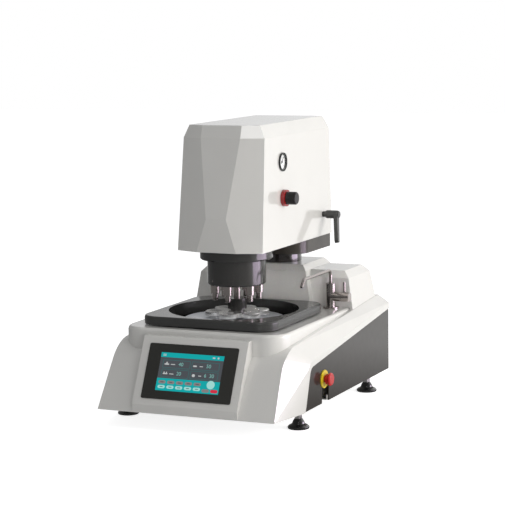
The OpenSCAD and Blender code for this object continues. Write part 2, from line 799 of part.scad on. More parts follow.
// The welded frame: a plate on posts that carries the platen's housing and its motor
frame_w = 300;
frame_x = -50;
frame_y0 = -170;
frame_y1 = 166;
post_d = 20;
post_inset = 14;
module drive_frame() {
    plate_hole_d = motor_pulley_d / 2 + motor_shaft_d;
    color("dimgray") difference() {
        union() {
            translate([frame_x, (frame_y0 + frame_y1) / 2, frame_plate_z])
                linear_extrude(frame_plate_t) round_rect(frame_w, frame_y1 - frame_y0, post_d);
            for (x = [-1, 1], y = [frame_y0 + post_inset, 0, frame_y1 - post_inset])
                translate([frame_x + x * (frame_w / 2 - post_inset), y, 0])
                    post(stance_h + panel_t, frame_plate_z + over, post_d);
        }
        on_platen_axis() post(frame_plate_z - over, frame_top_z + over, platen_bearing_d - over);
        translate([motor_x, motor_y, 0])
            post(frame_plate_z - over, frame_top_z + over, plate_hole_d);
    }
}

// The sheet that closes the cabinet below and carries the feet
module base_plate() {
    side = cabinet_w / 2 - side_wall - seat_gap;
    front = toe_y - cover_wall / sin(wing_deg) - panel_t / tan(wing_deg) - 2 * seat_gap;
    toe = crease_w / 2 - cover_wall - panel_t;
    color("silver") difference() {
        translate([0, 0, stance_h]) linear_extrude(panel_t) polygon([[-toe, -front],
            [toe, -front], [side, -panel_front_y + panel_flange], [side, back_y - cover_wall
            - seat_gap], [-side, back_y - cover_wall - seat_gap],
            [-side, -panel_front_y + panel_flange]]);
        for (x = [-1, 1], y = [-1, 1])
            translate([x * foot_pitch_x / 2, y * foot_pitch_y / 2, 0])
                post(stance_h - over, stance_h + panel_t + over, foot_stud_d + 2 * run_gap);
        translate([side - slot_d, -slot_y - slot_w / 2, stance_h - over])
            cube([slot_d + over, slot_w, panel_t + 2 * over]);
    }
}
slot_d = 24;
// Levelling feet: a domed pad, a stud with a wrench nut, and a nut on each side of the plate
pad_rim_h = 8;
pad_h = 24;
pad_top_d = 19;
pad_shoulder_d = 31;
pad_shoulder_z = 12;
pad_neck_d = 27;
pad_neck_z = 18;
nut_d = 19;
nut_h = 8;
stud_seat = 12;
stud_top = 22;
module at_feet() {
    for (x = [-1, 1], y = [-1, 1]) translate([x * foot_pitch_x / 2, y * foot_pitch_y / 2, 0])
        children();
}
module foot_pads() {
    color("black") at_feet() difference() {
        rotate_extrude() polygon([[0, 0], [foot_pad_d / 2 - panel_t / 2, 0],
            [foot_pad_d / 2, panel_t / 2], [foot_pad_d / 2, pad_rim_h - panel_t],
            [foot_pad_d / 2 - panel_t, pad_rim_h],
            [pad_shoulder_d / 2, pad_shoulder_z], [pad_neck_d / 2, pad_neck_z],
            [pad_top_d / 2, pad_h], [0, pad_h]]);
        post(stud_seat, pad_h + over, foot_stud_d);
    }
}
module foot_bolts() {
    color("silver") at_feet() {
        post(stud_seat, stance_h + panel_t + stud_top, foot_stud_d);
        for (z = [pad_h + seat_gap, stance_h - nut_h, stance_h + panel_t]) difference() {
            post(z, z + nut_h, nut_d, $fn = 6);
            post(z - over, z + nut_h + over, foot_stud_d);
        }
    }
}

// Control electronics beside the drive
control_inset = 28;
control_y = -50;
control_w = 95;
control_l = 180;
control_h = 80;
control_wall = 2;
supply_h = 45;
supply_margin = 16;
cable_hole_d = 20;
control_x = cabinet_w / 2 - control_inset - control_w;
module control_box() {
    w = control_wall;
    color("lightgray") translate([control_x, control_y, stance_h + panel_t]) {
        difference() {
            cube([control_w, control_l, control_h]);
            translate([w, w, w]) cube([control_w - 2 * w, control_l - 2 * w, control_h - 2 * w]);
            translate([control_w / 2, -over, control_h - cable_hole_d]) rotate([-90, 0, 0])
                cylinder(d = cable_hole_d, h = w + 2 * over);
        }
        translate([supply_margin, supply_margin, w / 2])
            cube([control_w - 2 * supply_margin, control_l - 2 * supply_margin, supply_h]);
        translate([w, w, control_h]) cube([control_w - 2 * w, control_l - 2 * w, w]);
    }
}

// Column, its round foot on the tower and the arm that turns on it
socket_d = 110;
socket_flange_t = 12;
socket_boss_d = 84;
socket_h = 60;
column_top_z = 505;
collar_d = 80;
arm_z = head_z - arm_t;
column_foot_h = 23;
module on_column() { translate([0, column_y, 0]) children(); }
module column() {
    base_z = stance_h + panel_t;
    color("silver") on_column() {
        post(base_z, base_z + socket_flange_t, socket_d);
        post(base_z, base_z + socket_h, socket_boss_d);
        difference() {
            post(base_z, column_top_z, column_d);
            post(base_z + socket_h, column_top_z + over, column_d - 2 * column_wall);
        }
    }
}
column_wall = 8;
module column_foot() {
    edge = 2;
    color("black") on_column() difference() {
        rotate_extrude() polygon([[0, tower_z], [column_foot_d / 2, tower_z],
            [column_foot_d / 2, tower_z + column_foot_h - edge],
            [column_foot_d / 2 - edge, tower_z + column_foot_h],
            [collar_d / 2, tower_z + column_foot_h], [collar_d / 2, arm_z], [0, arm_z]]);
        post(tower_z - over, arm_z + over, column_d);
    }
}
arm_w = head_w;
arm_front_y = 69;
arm_back_y = 271;
arm_corner_r = 50;
arm_back_r = 6;
arm_rim = 12;
arm_floor_t = 12;
module arm_outline() {
    polygon(rounded([[-arm_w / 2, arm_front_y], [arm_w / 2, arm_front_y],
            [arm_w / 2, arm_back_y], [-arm_w / 2, arm_back_y]],
        [arm_corner_r, arm_corner_r, arm_back_r, arm_back_r]));
}
module arm() {
    color("dimgray") {
        difference() {
            translate([0, 0, arm_z]) linear_extrude(arm_t) arm_outline();
            on_column() post(arm_z - over, head_z + over, column_d + 2 * run_gap);
            translate([0, 0, arm_z + arm_floor_t]) linear_extrude(arm_t) difference() {
                offset(delta = -arm_rim) arm_outline();
                translate([0, column_y]) circle(d = boss_d + arm_rim);
            }
        }
        arm_boss();
    }
}

// The boss of the arm that reaches up into the head, with the clamp screw's bore
boss_d = 96;
boss_top_z = 490;
screw_d = 12;
module arm_boss() {
    difference() {
        on_column() ring(head_z, boss_top_z, boss_d, column_d + 2 * run_gap);
        translate([0, lever_y, lever_z]) rod_x(0, boss_d, screw_d + 2 * run_gap);
    }
}

// Half width of the head cover at a height
function head_side_x(z) = head_w / 2 - (z - head_z) * (head_w - head_bevel_w)
    / (head_bevel_z - head_z) / 2;
// The swept facets of the head's front: distance ahead at half width x and height z
prow_w = 104.6;
prow_y = 186.6;
prow_sweep_deg = 19.5;
prow_lean_deg = 7.27;
knee_w = 52.8;
knee_z = 481.4;
roof_lean = 9.9;
function facet_y(x, z) = -prow_y + (x - prow_w / 2) * tan(prow_sweep_deg)
    + (z - head_z) * tan(prow_lean_deg);
function head_outline(z, half, front, inset) =
    let (side_y = facet_y(half, z) + front + inset, prow = facet_y(prow_w / 2, z) + front + inset,
        w = half - inset, p = prow_w / 2 - inset / 4, back = head_back_y - front - inset)
    [[-w, back], [-w, side_y], [-p, prow], [p, prow], [w, side_y], [w, back]];
module head_body(inset, floor_z) {
    hull() {
        translate([0, 0, floor_z]) linear_extrude(slice)
            polygon(head_outline(head_z, head_w / 2, 0, inset));
        translate([0, 0, head_bevel_z]) linear_extrude(slice)
            polygon(head_outline(head_bevel_z, head_bevel_w / 2, 0, inset));
        translate([0, 0, head_top_z - inset - slice]) linear_extrude(slice)
            polygon(head_outline(head_bevel_z, head_top_w / 2, roof_lean, inset));
        translate([-knee_w / 2, facet_y(knee_w / 2, knee_z) + inset, knee_z])
            cube([knee_w, slice, slice]);
    }
}
module head_cover() {
    color("whitesmoke") difference() {
        head_body(0, head_z);
        head_body(cover_wall, head_z - over);
        translate([0, -gauge_y, gauge_z]) rod_x(head_bevel_w / 4, head_w / 2 + over,
            gauge_case_d + 2 * seat_gap);
        translate([0, -regulator_y, regulator_z]) rod_x(head_bevel_w / 4, head_w / 2 + over,
            regulator_stem_d + 2 * seat_gap);
        translate([0, lever_y, lever_z]) rod_x(head_bevel_w / 4, head_w / 2 + over,
            screw_d + 2 * pass_gap);
    }
}
head_plate_t = 12;
plate_top_z = head_z + head_plate_t;
cylinder_hole_d = cylinder_d + 2 * pass_gap;
module on_spindle() { translate([0, -spindle_y, 0]) children(); }
module head_plate() {
    color("silver") difference() {
        translate([0, 0, head_z]) linear_extrude(head_plate_t)
            polygon(head_outline(plate_top_z, head_side_x(plate_top_z), 0,
                cover_wall + seat_gap));
        on_spindle() post(head_z - over, plate_top_z + over, cylinder_hole_d);
        on_column() post(head_z - over, plate_top_z + over, boss_d + 2 * seat_gap);
    }
}
module head_flange() {
    chamfer = flange_h / 9;
    color("black") on_spindle() rotate_extrude() polygon([
        [cylinder_hole_d / 2, head_z - flange_h], [flange_d / 2 - chamfer, head_z - flange_h],
        [flange_d / 2, head_z - flange_h + chamfer], [flange_d / 2, head_z],
        [cylinder_hole_d / 2, head_z]]);
}

// Quill, its housing, the lift cylinder beside it and the spindle's motor on it
cylinder_top_z = head_z - pass_gap;
quill_d = 70;
quill_bottom_z = cylinder_top_z + 2 * pass_gap;
quill_top_z = 534;
quill_bore_d = 30;
quill_bearing_d = 47;
quill_bearing_t = 12;
quill_shaft_d = 24.9;
carriage_t = 12;
carriage_top_z = quill_top_z + carriage_t;
carriage_w = 100;
cup_wall = 8;
cup_room = 6;
cup_top_z = cylinder_top_z + quill_travel + cup_room;
neck_d = 92;
neck_drop = 6;
neck_top_z = quill_top_z - neck_drop;
lift_y = 40;
lift_d = 40;
lift_bore_d = 32.1;
lift_rod_d = 12;
lift_top_z = 522;
lift_cap_t = 8;
lift_piston_h = 12;
module quill_housing() {
    color("slategray") on_spindle() {
        ring(plate_top_z, cup_top_z + cup_wall, cylinder_hole_d + 2 * cup_wall,
            cylinder_hole_d);
        ring(cup_top_z, cup_top_z + cup_wall, cylinder_hole_d + cup_wall,
            quill_d + 2 * run_gap);
        ring(cup_top_z, neck_top_z, neck_d, quill_d + 2 * run_gap);
    }
}
module quill() {
    color("silver") difference() {
        union() {
            on_spindle() post(quill_bottom_z, quill_top_z + over, quill_d);
            translate([0, 0, quill_top_z]) linear_extrude(carriage_t) {
                translate([0, -spindle_y]) circle(d = carriage_w);
                translate([0, lift_y]) circle(d = lift_d);
                translate([-lift_d / 2, -spindle_y]) square([lift_d, lift_y + spindle_y]);
            }
        }
        on_spindle() {
            post(quill_bottom_z - over, carriage_top_z + over, quill_bore_d);
            post(quill_bottom_z - over, quill_bottom_z + quill_bearing_t, quill_bearing_d);
            post(carriage_top_z - quill_bearing_t, carriage_top_z + over, quill_bearing_d);
        }
    }
}
module quill_bearings() {
    color("silver") on_spindle() for (z = [quill_bottom_z, carriage_top_z - quill_bearing_t])
        ball_bearing(z, quill_bearing_d, quill_shaft_d + 2 * run_gap, quill_bearing_t);
}
module lift_cylinder() {
    color("silver") translate([0, lift_y, 0]) difference() {
        post(plate_top_z, lift_top_z, lift_d);
        post(plate_top_z + lift_cap_t, lift_top_z - lift_cap_t, lift_bore_d);
        post(lift_top_z - lift_cap_t - over, lift_top_z + over, lift_rod_d + 2 * run_gap);
    }
}
module lift_rod() {
    floor_z = plate_top_z + lift_cap_t + pass_gap;
    color("silver") translate([0, lift_y, 0]) {
        post(floor_z, floor_z + lift_piston_h, lift_bore_d - 2 * run_gap);
        post(floor_z, quill_top_z, lift_rod_d);
    }
}
spindle_motor_d = 84;
spindle_motor_h = 104;
spindle_motor_cap_h = 14;
module spindle_motor() {
    top_z = carriage_top_z + spindle_motor_h;
    color("slategray") on_spindle() difference() {
        union() {
            post(carriage_top_z, top_z, spindle_motor_d - 2 * motor_fin_h);
            for (z = [carriage_top_z, top_z - spindle_motor_cap_h])
                post(z, z + spindle_motor_cap_h, spindle_motor_d);
        }
        post(carriage_top_z - over, carriage_top_z + spindle_motor_h / 3,
            quill_shaft_d + 2 * run_gap);
    }
}

// Everything that turns with the spindle
coupling_z = holder_z + holder_t;
coupling_floor_t = 8;
shaft_bottom_z = coupling_z + coupling_floor_t;
coupling_h = 30;
coupling_neck_d = 33;
coupling_neck_h = 5;
module spindle_shaft() {
    color("silver") on_spindle() {
        post(shaft_bottom_z, cylinder_top_z + over, shaft_d);
        post(cylinder_top_z, carriage_top_z + spindle_motor_h / 3 - over, quill_shaft_d);
    }
}
bore_cap_t = 12;
bore_top_z = cylinder_top_z - bore_cap_t;
module at_stations() {
    on_spindle() for (i = [1:stations]) rotate(360 * i / stations - 90)
        translate([piston_pitch_r, 0, 0]) children();
}
module pressure_cylinder() {
    chamfer = 3;
    color("black") difference() {
        on_spindle() rotate_extrude() polygon([[shaft_d / 2, cylinder_z],
            [cylinder_d / 2 - chamfer, cylinder_z], [cylinder_d / 2, cylinder_z + chamfer],
            [cylinder_d / 2, cylinder_top_z], [shaft_d / 2, cylinder_top_z]]);
        at_stations() post(cylinder_z - over, bore_top_z, piston_d + 2 * run_gap);
    }
}
piston_tip_l = 16;
piston_room = 10;
piston_step_z = piston_tip_z + piston_tip_l;
piston_top_z = bore_top_z - piston_room;
module piston(i) {
    color("silver") on_spindle() rotate(360 * i / stations - 90)
        translate([piston_pitch_r, 0, 0]) {
            chamfer = piston_tip_d / 15;
            rotate_extrude() polygon([[0, piston_tip_z], [piston_tip_d / 2 - chamfer,
                piston_tip_z], [piston_tip_d / 2, piston_tip_z + chamfer],
                [piston_tip_d / 2, piston_step_z], [piston_d / 2 - chamfer, piston_step_z],
                [piston_d / 2, piston_step_z + chamfer], [piston_d / 2, piston_top_z],
                [0, piston_top_z]]);
        }
}
module coupling() {
    color("black") on_spindle() difference() {
        union() {
            post(coupling_z, coupling_z + coupling_neck_h, coupling_neck_d);
            post(coupling_z + coupling_neck_h - over, coupling_z + coupling_h, coupling_d);
        }
        post(shaft_bottom_z, coupling_z + coupling_h + over, shaft_d);
    }
}
lobe_d = holder_d - 2 * piston_pitch_r;
module specimen_holder() {
    chamfer = holder_t / 8;
    color("gainsboro") difference() {
        union() {
            on_spindle() post(holder_z, holder_z + holder_t, 2 * piston_pitch_r + over);
            at_stations() rotate_extrude() polygon([[0, holder_z],
                [lobe_d / 2 - chamfer, holder_z], [lobe_d / 2, holder_z + chamfer],
                [lobe_d / 2, holder_z + holder_t - chamfer],
                [lobe_d / 2 - chamfer, holder_z + holder_t], [0, holder_z + holder_t]]);
        }
        at_stations() post(holder_z - over, holder_z + holder_t + over, specimen_d);
    }
}

// Pressure gauge, regulator and clamp lever on the head's right side
rim_gap = 0.5;
gauge_rim_w = 3;
gauge_x = head_side_x(gauge_z) + rim_gap;
gauge_case_d = gauge_d - 2 * gauge_rim_w;
gauge_rim_t = 3.5;
gauge_depth = 24;
gauge_wall = 2;
gauge_face_x = -2.5;
gauge_bore_d = gauge_case_d - gauge_wall;
gauge_lens_t = 1;
gauge_stem_d = 4;
gauge_stem_l = 2.5;
needle_t = 0.8;
needle_w = 1.6;
needle_tail_l = 6;
needle_deg = 40;
module at_gauge() { translate([gauge_x, -gauge_y, gauge_z]) children(); }
module gauge_case() {
    color("black") at_gauge() difference() {
        union() {
            rod_x(-gauge_depth, gauge_rim_t, gauge_case_d);
            rod_x(0, gauge_rim_t, gauge_d);
        }
        rod_x(gauge_face_x, gauge_rim_t + over, gauge_bore_d);
        rod_x(gauge_face_x - gauge_wall, gauge_face_x + over, gauge_stem_d / 2 + 2 * run_gap);
    }
}
module gauge_needle() {
    needle_l = gauge_case_d / 2 - 3 * gauge_wall;
    color("black") at_gauge() {
        rod_x(gauge_face_x + needle_t, gauge_face_x + gauge_stem_l, gauge_stem_d);
        rod_x(gauge_face_x - gauge_wall / 2, gauge_face_x + gauge_stem_l, gauge_stem_d / 2);
        rotate([-needle_deg, 0, 0])
            along_x(gauge_face_x + needle_t, gauge_face_x + 2 * needle_t)
            polygon([[-needle_w / 2, -needle_tail_l], [needle_w / 2, -needle_tail_l],
                [needle_w / 4, needle_l], [-needle_w / 4, needle_l]]);
    }
}
module gauge_lens() {
    color("azure") at_gauge()
        rod_x(gauge_rim_t - 2 * gauge_lens_t, gauge_rim_t - gauge_lens_t, gauge_bore_d);
}
regulator_x = head_side_x(regulator_z) + rim_gap;
regulator_stem_d = 20;
regulator_ring_t = 9.5;
regulator_pin_d = 8;
regulator_box = 40;
regulator_box_l = 44;
regulator_pin_l = 18;
knob_l = 25;
knob_gap = 0.5;
knob_flutes = 24;
flute_d = 2.4;
module at_regulator() { translate([regulator_x, -regulator_y, regulator_z]) children(); }
module regulator_body() {
    inner_x = -cover_wall - 2 * pass_gap;
    color("firebrick") at_regulator() {
        rod_x(0, regulator_ring_t, regulator_ring_d);
        rod_x(inner_x, regulator_ring_t, regulator_stem_d);
        rod_x(0, regulator_ring_t + regulator_pin_l, regulator_pin_d);
        translate([inner_x - regulator_box, -regulator_box / 2, -regulator_box_l / 2])
            cube([regulator_box, regulator_box, regulator_box_l]);
    }
}
module regulator_knob() {
    chamfer = knob_l / 12;
    x0 = regulator_ring_t + knob_gap;
    color("black") at_regulator() translate([x0, 0, 0]) rotate([0, 90, 0]) difference() {
        rotate_extrude() polygon([[0, 0], [regulator_knob_d / 2, 0],
            [regulator_knob_d / 2, knob_l - chamfer], [regulator_knob_d / 2 - chamfer, knob_l],
            [0, knob_l]]);
        post(-over, regulator_pin_l + knob_gap, regulator_pin_d + 2 * run_gap);
        for (i = [1:knob_flutes]) rotate(360 * i / knob_flutes)
            translate([regulator_knob_d / 2, 0, knob_l / 4])
                cylinder(d = flute_d, h = knob_l, $fn = 8);
    }
}
hub_x = head_side_x(lever_z) + pass_gap;
hub_neck_d = 15;
hub_neck_l = 10;
hub_d = 21;
hub_l = 44;
hub_tip_d = 16;
lever_root_w = 18;
lever_tip_w = 13;
lever_arm_t = 10;
lever_arm_x = 30;
lever_crank_deg = 13;
screw_seat_x = column_d / 2 + pass_gap;
module clamp_lever() {
    color("black") translate([0, lever_y, lever_z]) rotate([-lever_rest_deg, 0, 0]) {
        rod_x(screw_seat_x, hub_x + over, screw_d);
        translate([hub_x, 0, 0]) {
            rotate([0, 90, 0]) rotate_extrude() polygon([[0, 0], [hub_neck_d / 2, 0],
                [hub_neck_d / 2, hub_neck_l / 2], [hub_d / 2, hub_neck_l],
                [hub_d / 2, hub_l - hub_neck_l / 2], [hub_tip_d / 2, hub_l], [0, hub_l]]);
            translate([lever_arm_x, 0, 0]) rotate([0, -lever_crank_deg, 0])
                    along_x(0, lever_arm_t) {
                polygon([[-lever_root_w / 2, 0], [lever_root_w / 2, 0],
                    [lever_tip_w / 2, lever_tip_w / 2 - lever_l],
                    [-lever_tip_w / 2, lever_tip_w / 2 - lever_l]]);
                translate([0, lever_tip_w / 2 - lever_l]) circle(d = lever_tip_w);
            }
        }
    }
}

// Faucet on the deck
faucet_shank_d = 20;
faucet_flange_d = 41;
faucet_flange_t = 4;
faucet_nut_d = 32;
faucet_nut_t = 7;
valve_rise = 30.5;
valve_l = 31;
valve_d = 24;
valve_gap = 0.3;
valve_cap_l = 20;
valve_stem_d = 8;
valve_stem_l = 10;
valve_pin_d = 6;
valve_pin_h = 38;
valve_pin_x = 37;
spout_stem_d = 10;
spout_seat = 24;
spout_bend_r = 12;
spout_drop = 18;
spout_drop_deg = 48;
// The tube swells a little in its bends, and the straight stretches lap into them
spout_swell = 0.2;
spout_lap = 0.5;
module at_faucet() { translate([faucet_x, faucet_y, deck_z]) children(); }
module faucet_body() {
    color("silver") at_faucet() difference() {
        union() {
            post(0, faucet_flange_t, faucet_flange_d);
            post(0, faucet_h, faucet_d);
            post(-cover_wall - 2 * faucet_nut_t, over, faucet_shank_d);
            post(-cover_wall - faucet_nut_t, -cover_wall, faucet_nut_d, $fn = 6);
            translate([0, 0, valve_rise]) rod_x(0, valve_l, valve_d);
        }
        post(faucet_h - spout_seat, faucet_h + over, spout_stem_d + 2 * run_gap);
        translate([0, 0, valve_rise]) rod_x(valve_l - valve_stem_l - over, valve_l + over,
            valve_stem_d + 2 * run_gap);
    }
}
// The spout: up from the body, forward in a straight run, then down at its mouth
module faucet_spout() {
    run_z = spout_rise;
    color("silver") at_faucet() {
        post(faucet_h - spout_seat + over, faucet_h + over, spout_stem_d);
        post(faucet_h, run_z - spout_bend_r + spout_lap, spout_d);
        spout_bend(-spout_bend_r, run_z - spout_bend_r, 0) elbow(90);
        translate([0, -spout_reach - spout_lap, run_z]) rotate([-90, 0, 0])
            cylinder(d = spout_d, h = spout_reach - spout_bend_r + 2 * spout_lap);
        spout_bend(-spout_reach, run_z - spout_bend_r, 90) elbow(spout_drop_deg);
        spout_bend(-spout_reach, run_z - spout_bend_r, 90 + spout_drop_deg)
            translate([spout_bend_r, -spout_lap, 0]) rotate([-90, 0, 0])
                cylinder(d = spout_d, h = spout_drop + spout_lap);
    }
}
// Places a bend of the spout in the (Y, Z) plane, round the point (y, z)
module spout_bend(y, z, turn) {
    translate([0, y, z]) rotate([90, 0, 90]) rotate(turn) children();
}
// A bend of the spout tube in the XY plane, round the origin, from +X turning to +Y
module elbow(turn) {
    rotate_extrude(angle = turn) translate([spout_bend_r, 0]) circle(d = spout_d + spout_swell);
}
module faucet_lever() {
    x0 = valve_l + valve_gap;
    color("silver") at_faucet() translate([0, 0, valve_rise]) {
        rod_x(x0, x0 + valve_cap_l, valve_d);
        rod_x(valve_l - valve_stem_l, x0 + over, valve_stem_d);
        translate([valve_pin_x, 0, 0]) cylinder(d = valve_pin_d, h = valve_pin_h);
    }
}

// Emergency stop on the right side panel
stop_hole_d = 22.6;
stop_plate_t = 2.5;
stop_nut_d = 30;
stop_nut_t = 5;
stop_barrel_d = 22;
stop_box = 30;
stop_box_l = 28;
stop_stem_d = 12;
stop_neck_d = 16;
stop_neck_x = pass_gap;
stop_skirt_d = 26;
stop_rim_x = 10;
stop_reach = 21;
module at_stop() { translate([panel_x, -stop_y, stop_z]) children(); }
module stop_collar() {
    block_x = -panel_t - stop_nut_t;
    color("gold") at_stop() difference() {
        union() {
            rod_x(0, stop_plate_t, stop_plate_d);
            rod_x(block_x, stop_plate_t, stop_barrel_d);
            rod_x(block_x, -panel_t, stop_nut_d);
            translate([block_x - stop_box_l, -stop_box / 2, -stop_box / 2])
                cube([stop_box_l + over, stop_box, stop_box]);
        }
        rod_x(block_x - stop_box_l / 2, stop_plate_t + over, stop_stem_d + 2 * run_gap);
        rod_x(stop_neck_x - stop_travel - pass_gap, stop_plate_t + over,
            stop_neck_d + 2 * seat_gap);
    }
}
module stop_stem() {
    color("gray") at_stop()
        rod_x(stop_travel - panel_t - stop_nut_t - stop_box_l / 2 + over, stop_rim_x,
            stop_stem_d);
}
module stop_button() {
    cone_x = stop_plate_t + stop_travel + pass_gap;
    edge = stop_head_d / 12;
    color("red") at_stop() rotate([0, 90, 0]) difference() {
        rotate_extrude() polygon([[0, stop_neck_x], [stop_neck_d / 2, stop_neck_x],
            [stop_neck_d / 2, cone_x], [stop_skirt_d / 2, cone_x],
            [stop_skirt_d / 2, stop_rim_x + edge], [stop_head_d / 2, stop_rim_x + 2 * edge],
            [stop_head_d / 2, stop_reach - edge],
            [stop_head_d / 2 - edge, stop_reach], [0, stop_reach]]);
        post(stop_neck_x - over, stop_rim_x + run_gap, stop_stem_d + 2 * run_gap);
    }
}

// One line for each sub-part
base_cover();
base_plate();
side_panel(-1);  // left_side_panel
side_panel(1);  // right_side_panel
rear_panel();
tower_cover();
screen_bezel();
touch_screen();
bowl();
splash_ring();
drive_frame();
bearing_housing();
platen_bearings();
platen_motor();
motor_pulley();
drive_belt();
driven_pulley();
platen_shaft();
platen_carrier();
platen();
drain_pipe();
control_box();
power_inlet();
hose_inlets();
foot_pads();
foot_bolts();
column();
column_foot();
arm();
head_plate();
head_cover();
head_flange();
quill_housing();
clamp_lever();
lift_cylinder();
lift_rod();
quill();
quill_bearings();
spindle_motor();
spindle_shaft();
pressure_cylinder();
piston(1);  // piston_1
piston(2);  // piston_2
piston(3);  // piston_3
piston(4);  // piston_4
piston(5);  // piston_5
piston(6);  // piston_6
coupling();
specimen_holder();
gauge_case();
gauge_needle();
gauge_lens();
regulator_body();
regulator_knob();
faucet_body();
faucet_spout();
faucet_lever();
stop_collar();
stop_stem();
stop_button();
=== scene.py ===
# %% [markdown]
# This notebook dresses a imported CAD model of a bench grinder-polisher. The real machine is a
# moulded white cabinet with a water bowl, and a power head on a column that presses specimens
# onto a turning platen. Every size comes from the CAD frame, so the scene adds only finish and
# small detail. The box of the CAD model is kept.

# %% Load the frame
import json
import math
import bmesh
import bpy
from mathutils import Matrix, Vector


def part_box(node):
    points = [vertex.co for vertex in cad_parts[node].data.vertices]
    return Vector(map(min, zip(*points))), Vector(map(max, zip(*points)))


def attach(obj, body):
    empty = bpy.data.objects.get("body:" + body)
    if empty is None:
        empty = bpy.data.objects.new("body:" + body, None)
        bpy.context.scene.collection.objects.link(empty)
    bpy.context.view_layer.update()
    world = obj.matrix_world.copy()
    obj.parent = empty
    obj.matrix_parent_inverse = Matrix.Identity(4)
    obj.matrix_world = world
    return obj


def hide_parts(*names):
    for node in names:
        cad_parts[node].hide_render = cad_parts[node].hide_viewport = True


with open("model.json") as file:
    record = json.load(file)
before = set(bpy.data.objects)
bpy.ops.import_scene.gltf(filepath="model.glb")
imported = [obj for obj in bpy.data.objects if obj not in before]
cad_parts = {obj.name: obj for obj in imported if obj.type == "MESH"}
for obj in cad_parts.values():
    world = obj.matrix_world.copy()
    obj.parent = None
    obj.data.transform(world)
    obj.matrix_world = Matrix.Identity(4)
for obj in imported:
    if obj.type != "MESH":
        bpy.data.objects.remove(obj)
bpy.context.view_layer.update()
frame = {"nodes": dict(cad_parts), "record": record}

MM = 0.001
nodes = frame["nodes"]
bodies = frame["record"]["behaviour"]["bodies"]
body_of_node = {node: body for body, names in bodies.items() for node in names}
slot_of_node = {s["node"]: s["material_slot"] for s in frame["record"]["subparts"]}

# %% [markdown]
# The camera stands where the photographer stood. Its turn, tilt and roll were solved from
# straight edges in the photograph, so the picture and the render can be laid over each other.
# A long lens keeps the upright edges nearly parallel.

# %% Camera
camera_turn = math.radians(24.28)
camera_tilt = math.radians(7.54)
camera_roll = math.radians(-0.84)
camera_place = Vector((1.8708, -4.1215, 0.9779))
photo_side_px = 505
focal_px = 1836

ahead = Vector((-math.sin(camera_turn) * math.cos(camera_tilt),
                math.cos(camera_turn) * math.cos(camera_tilt), -math.sin(camera_tilt)))
level_right = Vector((math.cos(camera_turn), math.sin(camera_turn), 0))
level_up = level_right.cross(ahead)
right = level_right * math.cos(camera_roll) + level_up * math.sin(camera_roll)
up = level_up * math.cos(camera_roll) - level_right * math.sin(camera_roll)
camera_data = bpy.data.cameras.new("photo_camera")
camera_data.sensor_width = 36
camera_data.sensor_fit = "HORIZONTAL"
camera_data.lens = focal_px / photo_side_px * camera_data.sensor_width
camera = bpy.data.objects.new("photo_camera", camera_data)
bpy.context.scene.collection.objects.link(camera)
camera.matrix_world = Matrix.Translation(camera_place) @ Matrix(
    (right, up, -ahead)).transposed().to_4x4()
bpy.context.scene.camera = camera
print("lens", round(camera_data.lens, 1), "mm")

# %% [markdown]
# A finish is more than a colour. Paint has a faint orange peel, moulded plastic a fine grain and
# turned metal rings. One helper builds them all: a large soft noise shifts the colour a little,
# a middle one varies the roughness, and a fine one makes the bump. All of them read Object
# coordinates, so a pattern stays on its piece when the piece moves.

# %% Material helper
coat_roughness, ring_distortion = 0.03, 0.6
drift_scale, polish_scale = 9.0, 45.0
shade_low, shade_high = 0.35, 0.65
polish_low, polish_high = 0.85, 1.15
relief_m = 0.0004

